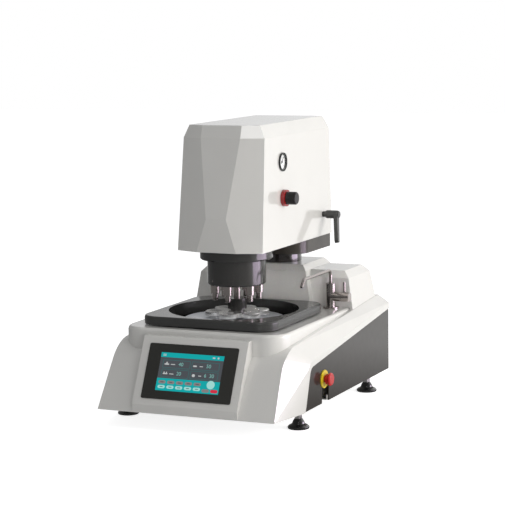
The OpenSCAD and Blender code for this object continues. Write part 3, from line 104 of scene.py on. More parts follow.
def finish(name, colour, roughness, metallic=0.0, grain=600.0, bump=0.04, coat=0.0,
           coat_ior=1.5, specular=0.5, drift=0.04, rings_at=None, rings_per_m=900.0):
    """A procedural material; rings_at is the axis (x, y) that turning marks run round."""
    material = bpy.data.materials.new(name)
    material.use_nodes = True
    tree = material.node_tree
    shader = tree.nodes["Principled BSDF"]
    shader.inputs["Metallic"].default_value = metallic
    shader.inputs["Coat Weight"].default_value = coat
    shader.inputs["Coat Roughness"].default_value = coat_roughness
    shader.inputs["Coat IOR"].default_value = coat_ior
    shader.inputs["Specular IOR Level"].default_value = specular
    place = tree.nodes.new("ShaderNodeTexCoord")

    def noise(scale, detail):
        node = tree.nodes.new("ShaderNodeTexNoise")
        node.inputs["Scale"].default_value = scale
        node.inputs["Detail"].default_value = detail
        tree.links.new(place.outputs["Object"], node.inputs["Vector"])
        return node.outputs["Fac"]

    shade = tree.nodes.new("ShaderNodeValToRGB")
    for stop, change in zip(shade.color_ramp.elements, (1 - drift, 1 + drift)):
        stop.color = [min(1.0, c * change) for c in colour] + [1]
    shade.color_ramp.elements[0].position = shade_low
    shade.color_ramp.elements[1].position = shade_high
    tree.links.new(noise(drift_scale, 3.0), shade.inputs["Fac"])
    tree.links.new(shade.outputs["Color"], shader.inputs["Base Color"])

    polish = tree.nodes.new("ShaderNodeMapRange")
    polish.inputs["To Min"].default_value = roughness * polish_low
    polish.inputs["To Max"].default_value = roughness * polish_high
    tree.links.new(noise(polish_scale, 2.0), polish.inputs["Value"])
    tree.links.new(polish.outputs["Result"], shader.inputs["Roughness"])

    height = noise(grain, 2.0)
    if rings_at is not None:
        centre = tree.nodes.new("ShaderNodeMapping")
        centre.inputs["Location"].default_value = (-rings_at[0], -rings_at[1], 0)
        tree.links.new(place.outputs["Object"], centre.inputs["Vector"])
        rings = tree.nodes.new("ShaderNodeTexWave")
        rings.wave_type = "RINGS"
        rings.rings_direction = "Z"
        rings.inputs["Scale"].default_value = rings_per_m
        rings.inputs["Distortion"].default_value = ring_distortion
        tree.links.new(centre.outputs["Vector"], rings.inputs["Vector"])
        height = rings.outputs["Fac"]
    relief = tree.nodes.new("ShaderNodeBump")
    relief.inputs["Strength"].default_value = bump
    relief.inputs["Distance"].default_value = relief_m
    tree.links.new(height, relief.inputs["Height"])
    tree.links.new(relief.outputs["Normal"], shader.inputs["Normal"])
    return material

# %% [markdown]
# The axes of the platen and of the spindle are read from the frame, so that turning marks run
# round the piece that was turned.

# %% Axes from the frame
def middle(node):
    low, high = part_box(node)
    return (low + high) / 2

platen_axis = middle("platen")
spindle_axis = middle("pressure_cylinder")
print("platen axis", [round(v, 4) for v in platen_axis])
print("spindle axis", [round(v, 4) for v in spindle_axis])

# %% [markdown]
# The machine has few finishes: a glossy white, a glossy warm grey on the sheet panels and the
# arm, several blacks, and turned or polished metal. Each is named for the slot of the record
# that it dresses, apart from the gauge dial's white and ink.

# %% Materials
materials = {
    "white_cover": finish("white_cover", (0.70, 0.69, 0.665), 0.3, coat=1.0, coat_ior=1.8,
                          bump=0.008, drift=0.01),
    "grey_paint": finish("grey_paint", (0.027, 0.023, 0.019), 0.35, coat=0.65, specular=0.1,
                         bump=0.003),
    "arm_paint": finish("arm_paint", (0.045, 0.040, 0.034), 0.3, coat=0.25, specular=0.2,
                        bump=0.01),
    "black_frame": finish("black_frame", (0.034, 0.034, 0.031), 0.45, specular=0.25,
                          bump=0.02),
    "screen_glass": finish("screen_glass", (0.02, 0.03, 0.035), 0.08, specular=0.3, bump=0.005),
    "bowl_plastic": finish("bowl_plastic", (0.006, 0.006, 0.006), 0.25, specular=0.4, bump=0.03),
    "ring_plastic": finish("ring_plastic", (0.048, 0.048, 0.047), 0.2, coat=0.25, specular=0.3,
                           bump=0.015),
    "platen_metal": finish("platen_metal", (0.90, 0.92, 0.96), 0.42, metallic=0.6, bump=0.08,
                           rings_at=(platen_axis.x, platen_axis.y)),
    "steel": finish("steel", (0.56, 0.55, 0.53), 0.3, metallic=1.0, bump=0.06),
    "bare_aluminium": finish("bare_aluminium", (0.58, 0.59, 0.60), 0.35, metallic=1.0, bump=0.06),
    "black_anodised": finish("black_anodised", (0.040, 0.039, 0.038), 0.14, specular=0.5,
                             bump=0.008),
    "cast": finish("cast", (0.12, 0.125, 0.13), 0.6, metallic=0.5, grain=250, bump=0.25),
    "motor_paint": finish("motor_paint", (0.08, 0.10, 0.13), 0.4, bump=0.08),
    "belt_rubber": finish("belt_rubber", (0.012, 0.012, 0.012), 0.75, grain=900, bump=0.2),
    "foot_rubber": finish("foot_rubber", (0.005, 0.005, 0.005), 0.12, coat=1.0, specular=0.6,
                          bump=0.004),
    "drain_plastic": finish("drain_plastic", (0.18, 0.18, 0.18), 0.5, bump=0.08),
    "box_paint": finish("box_paint", (0.5, 0.5, 0.49), 0.45, bump=0.06),
    "inlet_plastic": finish("inlet_plastic", (0.01, 0.01, 0.01), 0.45, bump=0.08),
    "brass": finish("brass", (0.62, 0.45, 0.17), 0.28, metallic=1.0, bump=0.05),
    "black_metal": finish("black_metal", (0.020, 0.016, 0.015), 0.12, coat=0.8, specular=0.5,
                          bump=0.004),
    "lever_metal": finish("lever_metal", (0.055, 0.055, 0.053), 0.35, specular=0.5, bump=0.02),
    "chrome": finish("chrome", (0.46, 0.42, 0.40), 0.16, metallic=1.0, bump=0.008),
    "holder_metal": finish("holder_metal", (0.92, 0.91, 0.90), 0.14, metallic=0.75, bump=0.01,
                           rings_at=(spindle_axis.x, spindle_axis.y), rings_per_m=500.0),
    "gauge_black": finish("gauge_black", (0.015, 0.015, 0.015), 0.25, specular=0.4, bump=0.015),
    "needle_black": finish("needle_black", (0.02, 0.02, 0.02), 0.4, bump=0.02),
    "regulator_red": finish("regulator_red", (0.30, 0.012, 0.014), 0.2, coat=0.3, bump=0.015),
    "knob_black": finish("knob_black", (0.018, 0.018, 0.018), 0.42, specular=0.35, bump=0.05),
    "stop_yellow": finish("stop_yellow", (0.74, 0.56, 0.02), 0.28, bump=0.02),
    "stop_red": finish("stop_red", (0.50, 0.018, 0.018), 0.22, coat=0.3, bump=0.015),
    "dial_white": finish("dial_white", (0.72, 0.71, 0.68), 0.5, bump=0.01, drift=0.01),
    "dial_ink": finish("dial_ink", (0.02, 0.02, 0.02), 0.6, bump=0.01),
    "gauge_glass": finish("gauge_glass", (0.97, 0.99, 0.99), 0.02, bump=0.002, drift=0.005),
}
glass_shader = materials["gauge_glass"].node_tree.nodes["Principled BSDF"]
glass_shader.inputs["Transmission Weight"].default_value = 1.0
glass_shader.inputs["IOR"].default_value = 1.1
for node, piece in nodes.items():
    piece.data.materials.clear()
    piece.data.materials.append(materials[slot_of_node[node]])
print("materials", len(materials))

# %% [markdown]
# Moulded covers and turned parts have softened edges, and those small rounds are what catch the
# light. The CAD mesh is loose triangles, so a copy is merged and its flat stretches dissolved. A
# Bevel modifier rounds the edges sharper than its limit, and a Weighted Normal modifier keeps the
# broad faces flat, so that facets stay crisp. The head's facets meet at small angles, so its
# limit is low. The copy then stands for the CAD node.

# %% Softened shells
merge_mm, flat_deg = 0.03, 0.6
bevel_segments, flat_weight = 2, 80

def keep_result(piece):
    """Puts what a piece's modifiers make in place of its mesh, and removes them."""
    bpy.context.view_layer.update()
    evaluated = piece.evaluated_get(bpy.context.evaluated_depsgraph_get())
    mesh = bpy.data.meshes.new_from_object(evaluated)
    piece.modifiers.clear()
    piece.data = mesh
    return mesh

def soften(node, radius_mm, limit_deg=30.0):
    mesh = nodes[node].data.copy()
    work = bmesh.new()
    work.from_mesh(mesh)
    bmesh.ops.remove_doubles(work, verts=work.verts, dist=merge_mm * MM)
    bmesh.ops.dissolve_limit(work, angle_limit=math.radians(flat_deg), verts=work.verts,
                             edges=work.edges)
    work.to_mesh(mesh)
    work.free()
    mesh.shade_smooth()
    shell = bpy.data.objects.new(node + "_shell", mesh)
    bpy.context.scene.collection.objects.link(shell)
    bevel = shell.modifiers.new("soft_edges", "BEVEL")
    bevel.width = radius_mm * MM
    bevel.segments = bevel_segments
    bevel.limit_method = "ANGLE"
    bevel.angle_limit = math.radians(limit_deg)
    flat = shell.modifiers.new("flat_faces", "WEIGHTED_NORMAL")
    flat.weight = flat_weight
    finished = keep_result(shell)
    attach(shell, body_of_node[node])
    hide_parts(node)
    return len(finished.polygons)

edge_rounds_mm = {"base_cover": 1.6, "tower_cover": 2.0, "head_cover": 1.4, "splash_ring": 0.8,
                  "left_side_panel": 0.4, "right_side_panel": 0.4, "rear_panel": 0.4,
                  "screen_bezel": 0.3, "arm": 0.8, "bowl": 0.6, "platen": 0.3, "head_flange": 0.5,
                  "pressure_cylinder": 0.5, "coupling": 0.5, "specimen_holder": 0.3,
                  "column_foot": 0.6, "clamp_lever": 0.6, "regulator_knob": 0.2,
                  "regulator_body": 0.4, "gauge_case": 0.4, "faucet_body": 0.5,
                  "faucet_spout": 0.3, "faucet_lever": 0.5, "stop_collar": 0.4,
                  "stop_button": 0.4, "foot_pads": 0.6, "foot_bolts": 0.3}
edge_rounds_mm.update({"piston_%d" % i: 0.3 for i in range(1, 7)})
edge_limits_deg = {"head_cover": 4.0, "tower_cover": 8.0, "base_cover": 20.0}
for node, radius_mm in edge_rounds_mm.items():
    print(node, "faces", soften(node, radius_mm, edge_limits_deg.get(node, 30.0)))

# %% [markdown]
# The display is a flat picture behind glass. Each mark of its generic layout is a thin slab that
# lies on the glass, in the screen's own axes: X across, Y up the slope, Z outwards. They are
# meshes with an emissive finish, because a real display glows and doesn't take colour from the
# room.

# %% Display axes and slab helper
glass_low, glass_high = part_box("touch_screen")
bezel_low, bezel_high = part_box("screen_bezel")
screen_lean_deg = 25.6
slope = math.radians(90 - screen_lean_deg)
screen_w, screen_h = 164.0, 92.4
bezel_middle = (bezel_low + bezel_high) / 2
outward = Vector((0, -math.sin(slope), math.cos(slope)))
bezel_t_mm, glass_recess_mm = 2.0, 0.4
slope_middle = bezel_middle - outward * (bezel_t_mm / 2 * MM)
screen_axes = Matrix.Translation(slope_middle) @ Matrix.Rotation(slope, 4, "X")
glass_z = bezel_t_mm - glass_recess_mm
layer_mm, display_glow = 0.05, 1.0

def glowing(name, colour):
    """A lit display colour; the slab itself is dark, so room light adds little."""
    material = finish(name, (0.01, 0.01, 0.01), 0.3, specular=0.15, bump=0.005)
    shader = material.node_tree.nodes["Principled BSDF"]
    shader.inputs["Emission Color"].default_value = (*colour, 1)
    shader.inputs["Emission Strength"].default_value = display_glow
    return material

def rounded_outline(x, y, w, h, r, steps=5):
    """Points of a rounded rectangle round (x, y), in millimetres."""
    points = []
    for corner, (sx, sy) in enumerate(((1, 1), (-1, 1), (-1, -1), (1, -1))):
        for step in range(steps + 1):
            a = math.radians(90 * (corner + step / steps))
            points.append((x + sx * (w / 2 - r) + r * math.cos(a),
                           y + sy * (h / 2 - r) + r * math.sin(a)))
    return points

def object_from(name, work, material):
    """A linked object from a finished bmesh, in one material."""
    mesh = bpy.data.meshes.new(name)
    work.to_mesh(mesh)
    work.free()
    mesh.materials.append(material)
    piece = bpy.data.objects.new(name, mesh)
    bpy.context.scene.collection.objects.link(piece)
    return piece

def slabs(name, outlines, z_mm, t_mm, material, axes, body):
    """Thin slabs from closed outlines in millimetres, placed by axes, as one piece."""
    work = bmesh.new()
    for outline in outlines:
        base = [work.verts.new((px * MM, py * MM, z_mm * MM)) for px, py in outline]
        top = [work.verts.new((px * MM, py * MM, (z_mm + t_mm) * MM)) for px, py in outline]
        work.faces.new(list(reversed(base)))
        work.faces.new(top)
        for i in range(len(base)):
            j = (i + 1) % len(base)
            work.faces.new((base[i], base[j], top[j], top[i]))
    work.transform(axes)
    bmesh.ops.recalc_face_normals(work, faces=work.faces)
    piece = object_from(name, work, material)
    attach(piece, body)
    return piece

def figures(name, items, t_mm, material, axes, body):
    """Numbers as a mesh: each item is (text, x, y, z, height in mm)."""
    work = bmesh.new()
    for text, x, y, z, size in items:
        curve = bpy.data.curves.new(name + "_line", "FONT")
        curve.body = text
        curve.size = size * MM
        curve.align_x = "CENTER"
        curve.align_y = "CENTER"
        curve.extrude = t_mm / 2 * MM
        line = bpy.data.objects.new(name + "_line", curve)
        bpy.context.scene.collection.objects.link(line)
        evaluated = line.evaluated_get(bpy.context.evaluated_depsgraph_get())
        mesh = bpy.data.meshes.new_from_object(evaluated)
        mesh.transform(axes @ Matrix.Translation((x * MM, y * MM, (z + t_mm / 2) * MM)))
        work.from_mesh(mesh)
        bpy.data.meshes.remove(mesh)
        bpy.data.objects.remove(line)
    piece = object_from(name, work, material)
    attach(piece, body)
    return piece

# %% [markdown]
# The layout follows the photograph's: a header bar, four cells with a figure each, and a band of
# buttons. Its words and its mark are left off, and short plain bars stand where labels would be.

# %% Display picture
teal = glowing("display_teal", (0.0, 0.36, 0.37))
slate = glowing("display_slate", (0.065, 0.072, 0.082))
outline_teal = glowing("display_outline", (0.03, 0.15, 0.15))
pale_teal = glowing("display_figures", (0.20, 0.46, 0.42))
icon_white = glowing("display_icons", (0.50, 0.52, 0.52))
pill_grey = glowing("display_pill_grey", (0.22, 0.20, 0.20))
pill_light = glowing("display_pill_light", (0.33, 0.66, 0.62))
pill_red = glowing("display_pill_red", (0.62, 0.02, 0.05))

def at(u, v):
    """A place on the display from shares of its width and of its height from the top."""
    return ((u - 0.5) * screen_w, (0.5 - v) * screen_h)

def bars(shares, r_share=0.5):
    """Rounded bars from (u, v, width, height) shares of the display."""
    made = []
    for u, v, w, h in shares:
        x, y = at(u, v)
        w_mm, h_mm = w * screen_w, h * screen_h
        made.append(rounded_outline(x, y, w_mm, h_mm, min(w_mm, h_mm) * r_share))
    return made

def on_display(name, outlines, layer, material):
    return slabs(name, outlines, glass_z + layer_mm * layer, layer_mm, material, screen_axes,
                 "cabinet")

header_share, band_share = 0.125, 0.325
on_display("display_ground", bars([(0.5, 0.5, 0.996, 0.994)], 0.01), 0, slate)
on_display("display_bands", bars([(0.5, header_share / 2, 0.996, header_share),
                                  (0.5, 1 - band_share / 2, 0.996, band_share)], 0.02), 1, teal)
cells_share = [(0.27, 0.295, 0.43, 0.20), (0.73, 0.295, 0.43, 0.20),
               (0.27, 0.54, 0.43, 0.20), (0.73, 0.54, 0.43, 0.20)]
line_w, line_h = 0.006, 0.010
on_display("display_cells", bars([
    line for u, v, w, h in cells_share for line in (
        (u, v - h / 2, w, line_h), (u, v + h / 2, w, line_h),
        (u - w / 2, v, line_w, h), (u + w / 2, v, line_w, h))], 0.3), 1, outline_teal)
pill_u_share = [0.09 + 0.14 * i for i in range(5)]
pill_share = (0.115, 0.085)
on_display("display_pills_dark", bars([(u, 0.775, *pill_share) for u in pill_u_share]
                                      + [(0.79, 0.925, *pill_share)]), 2, pill_grey)
on_display("display_pills_light", bars([(u, 0.90, *pill_share) for u in pill_u_share]), 2,
           pill_light)
on_display("display_pill_stop", bars([(0.925, 0.925, *pill_share)]), 2, pill_red)
on_display("display_pill_marks", bars([(u, v, 0.05, 0.018) for u in pill_u_share
                                       for v in (0.775, 0.90)]), 3, slate)
on_display("display_start", bars([(0.86, 0.765, 0.125, 0.125 * screen_w / screen_h)]), 2,
           pill_light)
on_display("display_icons", bars([
    (0.115, 0.305, 0.075, 0.035), (0.115, 0.270, 0.022, 0.05), (0.115, 0.555, 0.075, 0.03),
    (0.095, 0.525, 0.014, 0.045), (0.135, 0.525, 0.014, 0.045), (0.565, 0.31, 0.06, 0.04),
    (0.565, 0.555, 0.05, 0.075), (0.215, 0.305, 0.07, 0.02), (0.215, 0.555, 0.07, 0.02),
    (0.665, 0.31, 0.055, 0.02), (0.665, 0.555, 0.05, 0.02), (0.06, 0.05, 0.05, 0.016),
    (0.06, 0.08, 0.05, 0.016), (0.84, 0.065, 0.045, 0.035), (0.91, 0.065, 0.03, 0.05)]), 2,
    icon_white)
display_figures = [("40", 0.34, 0.295), ("50", 0.78, 0.295), ("20", 0.33, 0.54),
                   ("6", 0.75, 0.54), ("30", 0.85, 0.54)]
figure_h_mm = 12.5
figures("display_figures", [(text, *at(u, v), glass_z + 2 * layer_mm, figure_h_mm)
                            for text, u, v in display_figures], layer_mm, pale_teal,
        screen_axes, "cabinet")
print("display", screen_w, "x", screen_h, "mm")

# %% [markdown]
# Repeats are made with Geometry Nodes. This tree puts one small solid at each vertex of a carrier
# mesh, so that moving the vertices moves the screws. It ends in Realize Instances and Set
# Material, and the result is turned into a plain mesh.

# %% Screws with Geometry Nodes
rim_sides, socket_sides = 24, 6
socket_share, socket_lift_mm = 0.5, 1.0

def screw_tree(material):
    tree = bpy.data.node_groups.new("screws_at_points", "GeometryNodeTree")
    tree.interface.new_socket("Carrier", in_out="INPUT", socket_type="NodeSocketGeometry")
    head = tree.interface.new_socket("Head Radius", in_out="INPUT", socket_type="NodeSocketFloat")
    rise = tree.interface.new_socket("Head Height", in_out="INPUT", socket_type="NodeSocketFloat")
    turn = tree.interface.new_socket("Turn", in_out="INPUT", socket_type="NodeSocketVector")
    tree.interface.new_socket("Screws", in_out="OUTPUT", socket_type="NodeSocketGeometry")
    head.default_value, rise.default_value = 3 * MM, 1.6 * MM
    given = tree.nodes.new("NodeGroupInput")
    made = tree.nodes.new("NodeGroupOutput")
    rim = tree.nodes.new("GeometryNodeMeshCylinder")
    rim.inputs["Vertices"].default_value = rim_sides
    socket = tree.nodes.new("GeometryNodeMeshCylinder")
    socket.inputs["Vertices"].default_value = socket_sides
    half = tree.nodes.new("ShaderNodeMath")
    half.operation = "MULTIPLY"
    half.inputs[1].default_value = socket_share
    cut = tree.nodes.new("GeometryNodeMeshBoolean")
    cut.operation = "DIFFERENCE"
    lift = tree.nodes.new("GeometryNodeTransform")
    lift.inputs["Translation"].default_value = (0, 0, socket_lift_mm * MM)
    spread = tree.nodes.new("GeometryNodeInstanceOnPoints")
    real = tree.nodes.new("GeometryNodeRealizeInstances")
    paint = tree.nodes.new("GeometryNodeSetMaterial")
    paint.inputs["Material"].default_value = material
    link = tree.links.new
    link(given.outputs["Head Radius"], rim.inputs["Radius"])
    link(given.outputs["Head Height"], rim.inputs["Depth"])
    link(given.outputs["Head Radius"], half.inputs[0])
    link(half.outputs["Value"], socket.inputs["Radius"])
    link(given.outputs["Head Height"], socket.inputs["Depth"])
    link(socket.outputs["Mesh"], lift.inputs["Geometry"])
    link(rim.outputs["Mesh"], cut.inputs["Mesh 1"])
    link(lift.outputs["Geometry"], cut.inputs["Mesh 2"])
    link(given.outputs["Carrier"], spread.inputs["Points"])
    link(cut.outputs["Mesh"], spread.inputs["Instance"])
    link(given.outputs["Turn"], spread.inputs["Rotation"])
    link(spread.outputs["Instances"], real.inputs["Geometry"])
    link(real.outputs["Geometry"], paint.inputs["Geometry"])
    link(paint.outputs["Geometry"], made.inputs["Screws"])
    return tree, {"head": head.identifier, "rise": rise.identifier, "turn": turn.identifier}

def screws(name, places, turn, radius_mm, height_mm, body, slot):
    """Screw heads at places, in metres; turn is a rotation in radians that aims their heads."""
    carrier = bpy.data.meshes.new(name)
    carrier.from_pydata(places, [], [])
    piece = bpy.data.objects.new(name, carrier)
    bpy.context.scene.collection.objects.link(piece)
    tree, sockets = screw_tree(materials[slot])
    modifier = piece.modifiers.new("screws", "NODES")
    modifier.node_group = tree
    modifier[sockets["head"]] = radius_mm * MM
    modifier[sockets["rise"]] = height_mm * MM
    modifier[sockets["turn"]] = turn
    mesh = keep_result(piece)
    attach(piece, body)
    print(name, len(places), "screws,", len(mesh.polygons), "faces")
    return piece

rear_low, rear_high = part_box("rear_panel")
screw_margin = 8 * MM
rear_x = (rear_low.x + screw_margin, 0.0, rear_high.x - screw_margin)
rear_z = (rear_low.z + screw_margin, rear_high.z - screw_margin)
screws("rear_panel_screws", [(x, rear_high.y, z) for x in rear_x for z in rear_z],
       (-math.pi / 2, 0, 0), 3.2, 1.4, "cabinet", "steel")

# %% [markdown]
# The pressure gauge has a white dial with a scale from zero round to its end. The ticks follow a
# rule, so a Geometry Nodes tree lays them out from their number, radius and sweep. The CAD model
# already has the needle, which turns.

# %% Gauge dial
case_low, case_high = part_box("gauge_case")
needle_low, needle_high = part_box("gauge_needle")
gauge_middle = Vector((case_high.x, (case_low.y + case_high.y) / 2,
                       (case_low.z + case_high.z) / 2))
dial_r_mm, rim_depth_mm, face_mm = 18.6, 3.5, -2.5
dial_x = case_high.x - (rim_depth_mm - face_mm) * MM
dial_axes = Matrix.Translation((dial_x, gauge_middle.y, gauge_middle.z)) @ Matrix(
    ((0, 0, 1, 0), (1, 0, 0, 0), (0, 1, 0, 0), (0, 0, 0, 1)))
hub_r_mm, dial_z_mm, dial_t_mm = 3.2, 0.02, 0.2

def dial_disc(name, outer_mm, inner_mm, z_mm, t_mm, material, axes, body, sides=72):
    """A flat ring with its bore, closed all round."""
    work = bmesh.new()
    loops = []
    for r, z in ((outer_mm, z_mm), (outer_mm, z_mm + t_mm),
                 (inner_mm, z_mm + t_mm), (inner_mm, z_mm)):
        loops.append([work.verts.new((r * math.cos(2 * math.pi * i / sides) * MM,
                                      r * math.sin(2 * math.pi * i / sides) * MM, z * MM))
                      for i in range(sides)])
    for a, b in zip(loops, loops[1:] + loops[:1]):
        for i in range(sides):
            j = (i + 1) % sides
            work.faces.new((a[i], a[j], b[j], b[i]))
    work.transform(axes)
    bmesh.ops.recalc_face_normals(work, faces=work.faces)
    piece = object_from(name, work, material)
    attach(piece, body)
    return piece

dial_disc("gauge_dial", dial_r_mm, hub_r_mm, dial_z_mm, dial_t_mm, materials["dial_white"],
          dial_axes, "head")

# %% [markdown]
# Each tick is a thin box on a line of points. Its angle comes from its index, the step and the
# start, and its place from the cosine and sine of that angle times the radius.

# %% Gauge ticks with Geometry Nodes
def tick_tree(material):
    tree = bpy.data.node_groups.new("scale_ticks", "GeometryNodeTree")
    tree.interface.new_socket("Carrier", in_out="INPUT", socket_type="NodeSocketGeometry")
    count = tree.interface.new_socket("Count", in_out="INPUT", socket_type="NodeSocketInt")
    radius = tree.interface.new_socket("Radius", in_out="INPUT", socket_type="NodeSocketFloat")
    step = tree.interface.new_socket("Step", in_out="INPUT", socket_type="NodeSocketFloat")
    start = tree.interface.new_socket("Start", in_out="INPUT", socket_type="NodeSocketFloat")
    size = tree.interface.new_socket("Tick", in_out="INPUT", socket_type="NodeSocketVector")
    tree.interface.new_socket("Ticks", in_out="OUTPUT", socket_type="NodeSocketGeometry")
    given, made = tree.nodes.new("NodeGroupInput"), tree.nodes.new("NodeGroupOutput")
    line = tree.nodes.new("GeometryNodeMeshLine")
    index = tree.nodes.new("GeometryNodeInputIndex")
    angle = tree.nodes.new("ShaderNodeMath")
    angle.operation = "MULTIPLY_ADD"
    cosine, sine = tree.nodes.new("ShaderNodeMath"), tree.nodes.new("ShaderNodeMath")
    cosine.operation, sine.operation = "COSINE", "SINE"
    across, along = tree.nodes.new("ShaderNodeMath"), tree.nodes.new("ShaderNodeMath")
    across.operation = along.operation = "MULTIPLY"
    point, aim = tree.nodes.new("ShaderNodeCombineXYZ"), tree.nodes.new("ShaderNodeCombineXYZ")
    move = tree.nodes.new("GeometryNodeSetPosition")
    tick = tree.nodes.new("GeometryNodeMeshCube")
    spread = tree.nodes.new("GeometryNodeInstanceOnPoints")
    real = tree.nodes.new("GeometryNodeRealizeInstances")
    paint = tree.nodes.new("GeometryNodeSetMaterial")
    paint.inputs["Material"].default_value = material
    link = tree.links.new
    link(given.outputs["Count"], line.inputs["Count"])
    link(index.outputs["Index"], angle.inputs[0])
    link(given.outputs["Step"], angle.inputs[1])
    link(given.outputs["Start"], angle.inputs[2])
    link(angle.outputs["Value"], cosine.inputs[0])
    link(angle.outputs["Value"], sine.inputs[0])
    link(cosine.outputs["Value"], across.inputs[0])
    link(sine.outputs["Value"], along.inputs[0])
    link(given.outputs["Radius"], across.inputs[1])
    link(given.outputs["Radius"], along.inputs[1])
    link(across.outputs["Value"], point.inputs["X"])
    link(along.outputs["Value"], point.inputs["Y"])
    link(line.outputs["Mesh"], move.inputs["Geometry"])
    link(point.outputs["Vector"], move.inputs["Position"])
    link(given.outputs["Tick"], tick.inputs["Size"])
    link(move.outputs["Geometry"], spread.inputs["Points"])
    link(tick.outputs["Mesh"], spread.inputs["Instance"])
    link(angle.outputs["Value"], aim.inputs["Z"])
    link(aim.outputs["Vector"], spread.inputs["Rotation"])
    link(spread.outputs["Instances"], real.inputs["Geometry"])
    link(real.outputs["Geometry"], paint.inputs["Geometry"])
    link(paint.outputs["Geometry"], made.inputs["Ticks"])
    return tree, {"count": count.identifier, "radius": radius.identifier, "step": step.identifier,
                  "start": start.identifier, "size": size.identifier}

tick_t_mm = 0.1

def ticks(name, count, radius_mm, sweep_deg, length_mm, width_mm, lift_mm):
    """Ticks from the lower left round over the top to the lower right of the dial."""
    mesh = bpy.data.meshes.new(name)
    piece = bpy.data.objects.new(name, mesh)
    bpy.context.scene.collection.objects.link(piece)
    tree, sockets = tick_tree(materials["dial_ink"])
    modifier = piece.modifiers.new("ticks", "NODES")
    modifier.node_group = tree
    modifier[sockets["count"]] = count
    modifier[sockets["radius"]] = radius_mm * MM
    modifier[sockets["step"]] = -math.radians(sweep_deg) / (count - 1)
    modifier[sockets["start"]] = math.radians(90 + sweep_deg / 2)
    modifier[sockets["size"]] = (length_mm * MM, width_mm * MM, tick_t_mm * MM)
    keep_result(piece).transform(dial_axes @ Matrix.Translation((0, 0, lift_mm * MM)))
    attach(piece, "head")
    return piece

scale_sweep_deg, tick_lift_mm = 270, 0.28
fine_inset_mm, main_inset_mm, number_inset_mm = 2.0, 2.6, 6.4
ticks("gauge_ticks_fine", 51, dial_r_mm - fine_inset_mm, scale_sweep_deg, 1.4, 0.18,
      tick_lift_mm)
ticks("gauge_ticks_main", 11, dial_r_mm - main_inset_mm, scale_sweep_deg, 2.6, 0.4,
      tick_lift_mm)
number_r_mm, number_h_mm, number_steps = dial_r_mm - number_inset_mm, 3.6, 5
number_z_mm, number_t_mm = 0.24, 0.08
numbers = []
for i in range(number_steps + 1):
    turn = math.radians(90 + scale_sweep_deg / 2 - i * scale_sweep_deg / number_steps)
    numbers.append((str(2 * i), number_r_mm * math.cos(turn), number_r_mm * math.sin(turn),
                    number_z_mm, number_h_mm))
figures("gauge_numbers", numbers, number_t_mm, materials["dial_ink"], dial_axes, "head")
print("dial at x", round(dial_x, 4))

# %% [markdown]
# The pressure cylinder is held on its shaft by small set screws, which show as bright dots near
# its lower edge. They sit on the turned side, aimed outwards.

# %% Set screws of the pressure cylinder
cylinder_low, cylinder_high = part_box("pressure_cylinder")
cylinder_r = (cylinder_high.x - cylinder_low.x) / 2
set_screw_rise = 12 * MM
for number, turn_deg in enumerate((-120, 10, 130)):
    a = math.radians(turn_deg)
    place = (spindle_axis.x + cylinder_r * math.cos(a), spindle_axis.y + cylinder_r * math.sin(a),
             cylinder_low.z + set_screw_rise)
    screws("cylinder_set_screw_%d" % (number + 1), [place], (0, math.pi / 2, a), 2.2, 0.8,
           "spindle", "chrome")

# %% [markdown]
# The light is a pale studio with a dimmer room behind the camera. A broad lamp on the machine's
# right makes that side nearly white, one overhead lights the roof and the slopes, and a weak low
# one reaches the front. A narrow beam lights the tower under the head. None of them shows as a
# mirrored shape. Two more show only in mirrors: a box above the camera, which brightens the
# head's upper right facet, and a low lilac strip on the right, which draws the upright streak on
# each black turned part. The strip stands where the flat right side can't mirror it. Mirror-like
# rays see a backdrop that is bright behind the machine and dim in front, so the white right side
# mirrors its knob and lever and the blacks stay dark. The camera looks a little down, so upright
# faces mirror the floor, which follows the same rule.

# %% Studio
def lamp(name, place, aim, width, height, power, colour=(1, 1, 1), lights=True, mirrored=True):
    data = bpy.data.lights.new(name, "AREA")
    data.shape = "RECTANGLE"
    data.size, data.size_y = width, height
    data.energy = power
    data.color = colour
    lamp_object = bpy.data.objects.new(name, data)
    bpy.context.scene.collection.objects.link(lamp_object)
    lamp_object.location = place
    lamp_object.rotation_euler = (Vector(aim) - Vector(place)).to_track_quat("-Z", "Y").to_euler()
    lamp_object.visible_diffuse = lights
    lamp_object.visible_glossy = mirrored
    return lamp_object

machine_middle = (0.0, 0.0, 0.35)
lamp("side_lamp", (3.2, 0.3, 1.1), machine_middle, 2.4, 2.0, 80, (1.0, 0.975, 0.94),
     mirrored=False)
lamp("top_lamp", (0.3, -0.6, 3.4), machine_middle, 1.6, 1.6, 19, mirrored=False)
lamp("fill_lamp", (1.7, -1.7, 0.5), machine_middle, 1.0, 0.6, 9, mirrored=False)
tower_lamp = lamp("tower_lamp", (1.3, -1.4, 0.42), (0, 0.13, 0.29), 0.3, 0.08, 0.045,
                  mirrored=False)
tower_lamp.data.spread = math.radians(8)
lamp("facet_box", (1.0, -3.6, 2.4), (0.05, -0.2, 0.69), 1.6, 1.0, 14, lights=False)
lamp("lilac_strip", (1.88, 0.61, 0.3), (0, -0.07, 0.3), 1.45, 0.6, 17, (0.92, 0.76, 0.98),
     lights=False)

room_light, mirror_front, mirror_back = 0.30, 0.22, 1.0
behind = (0.5, 0.87, 0)

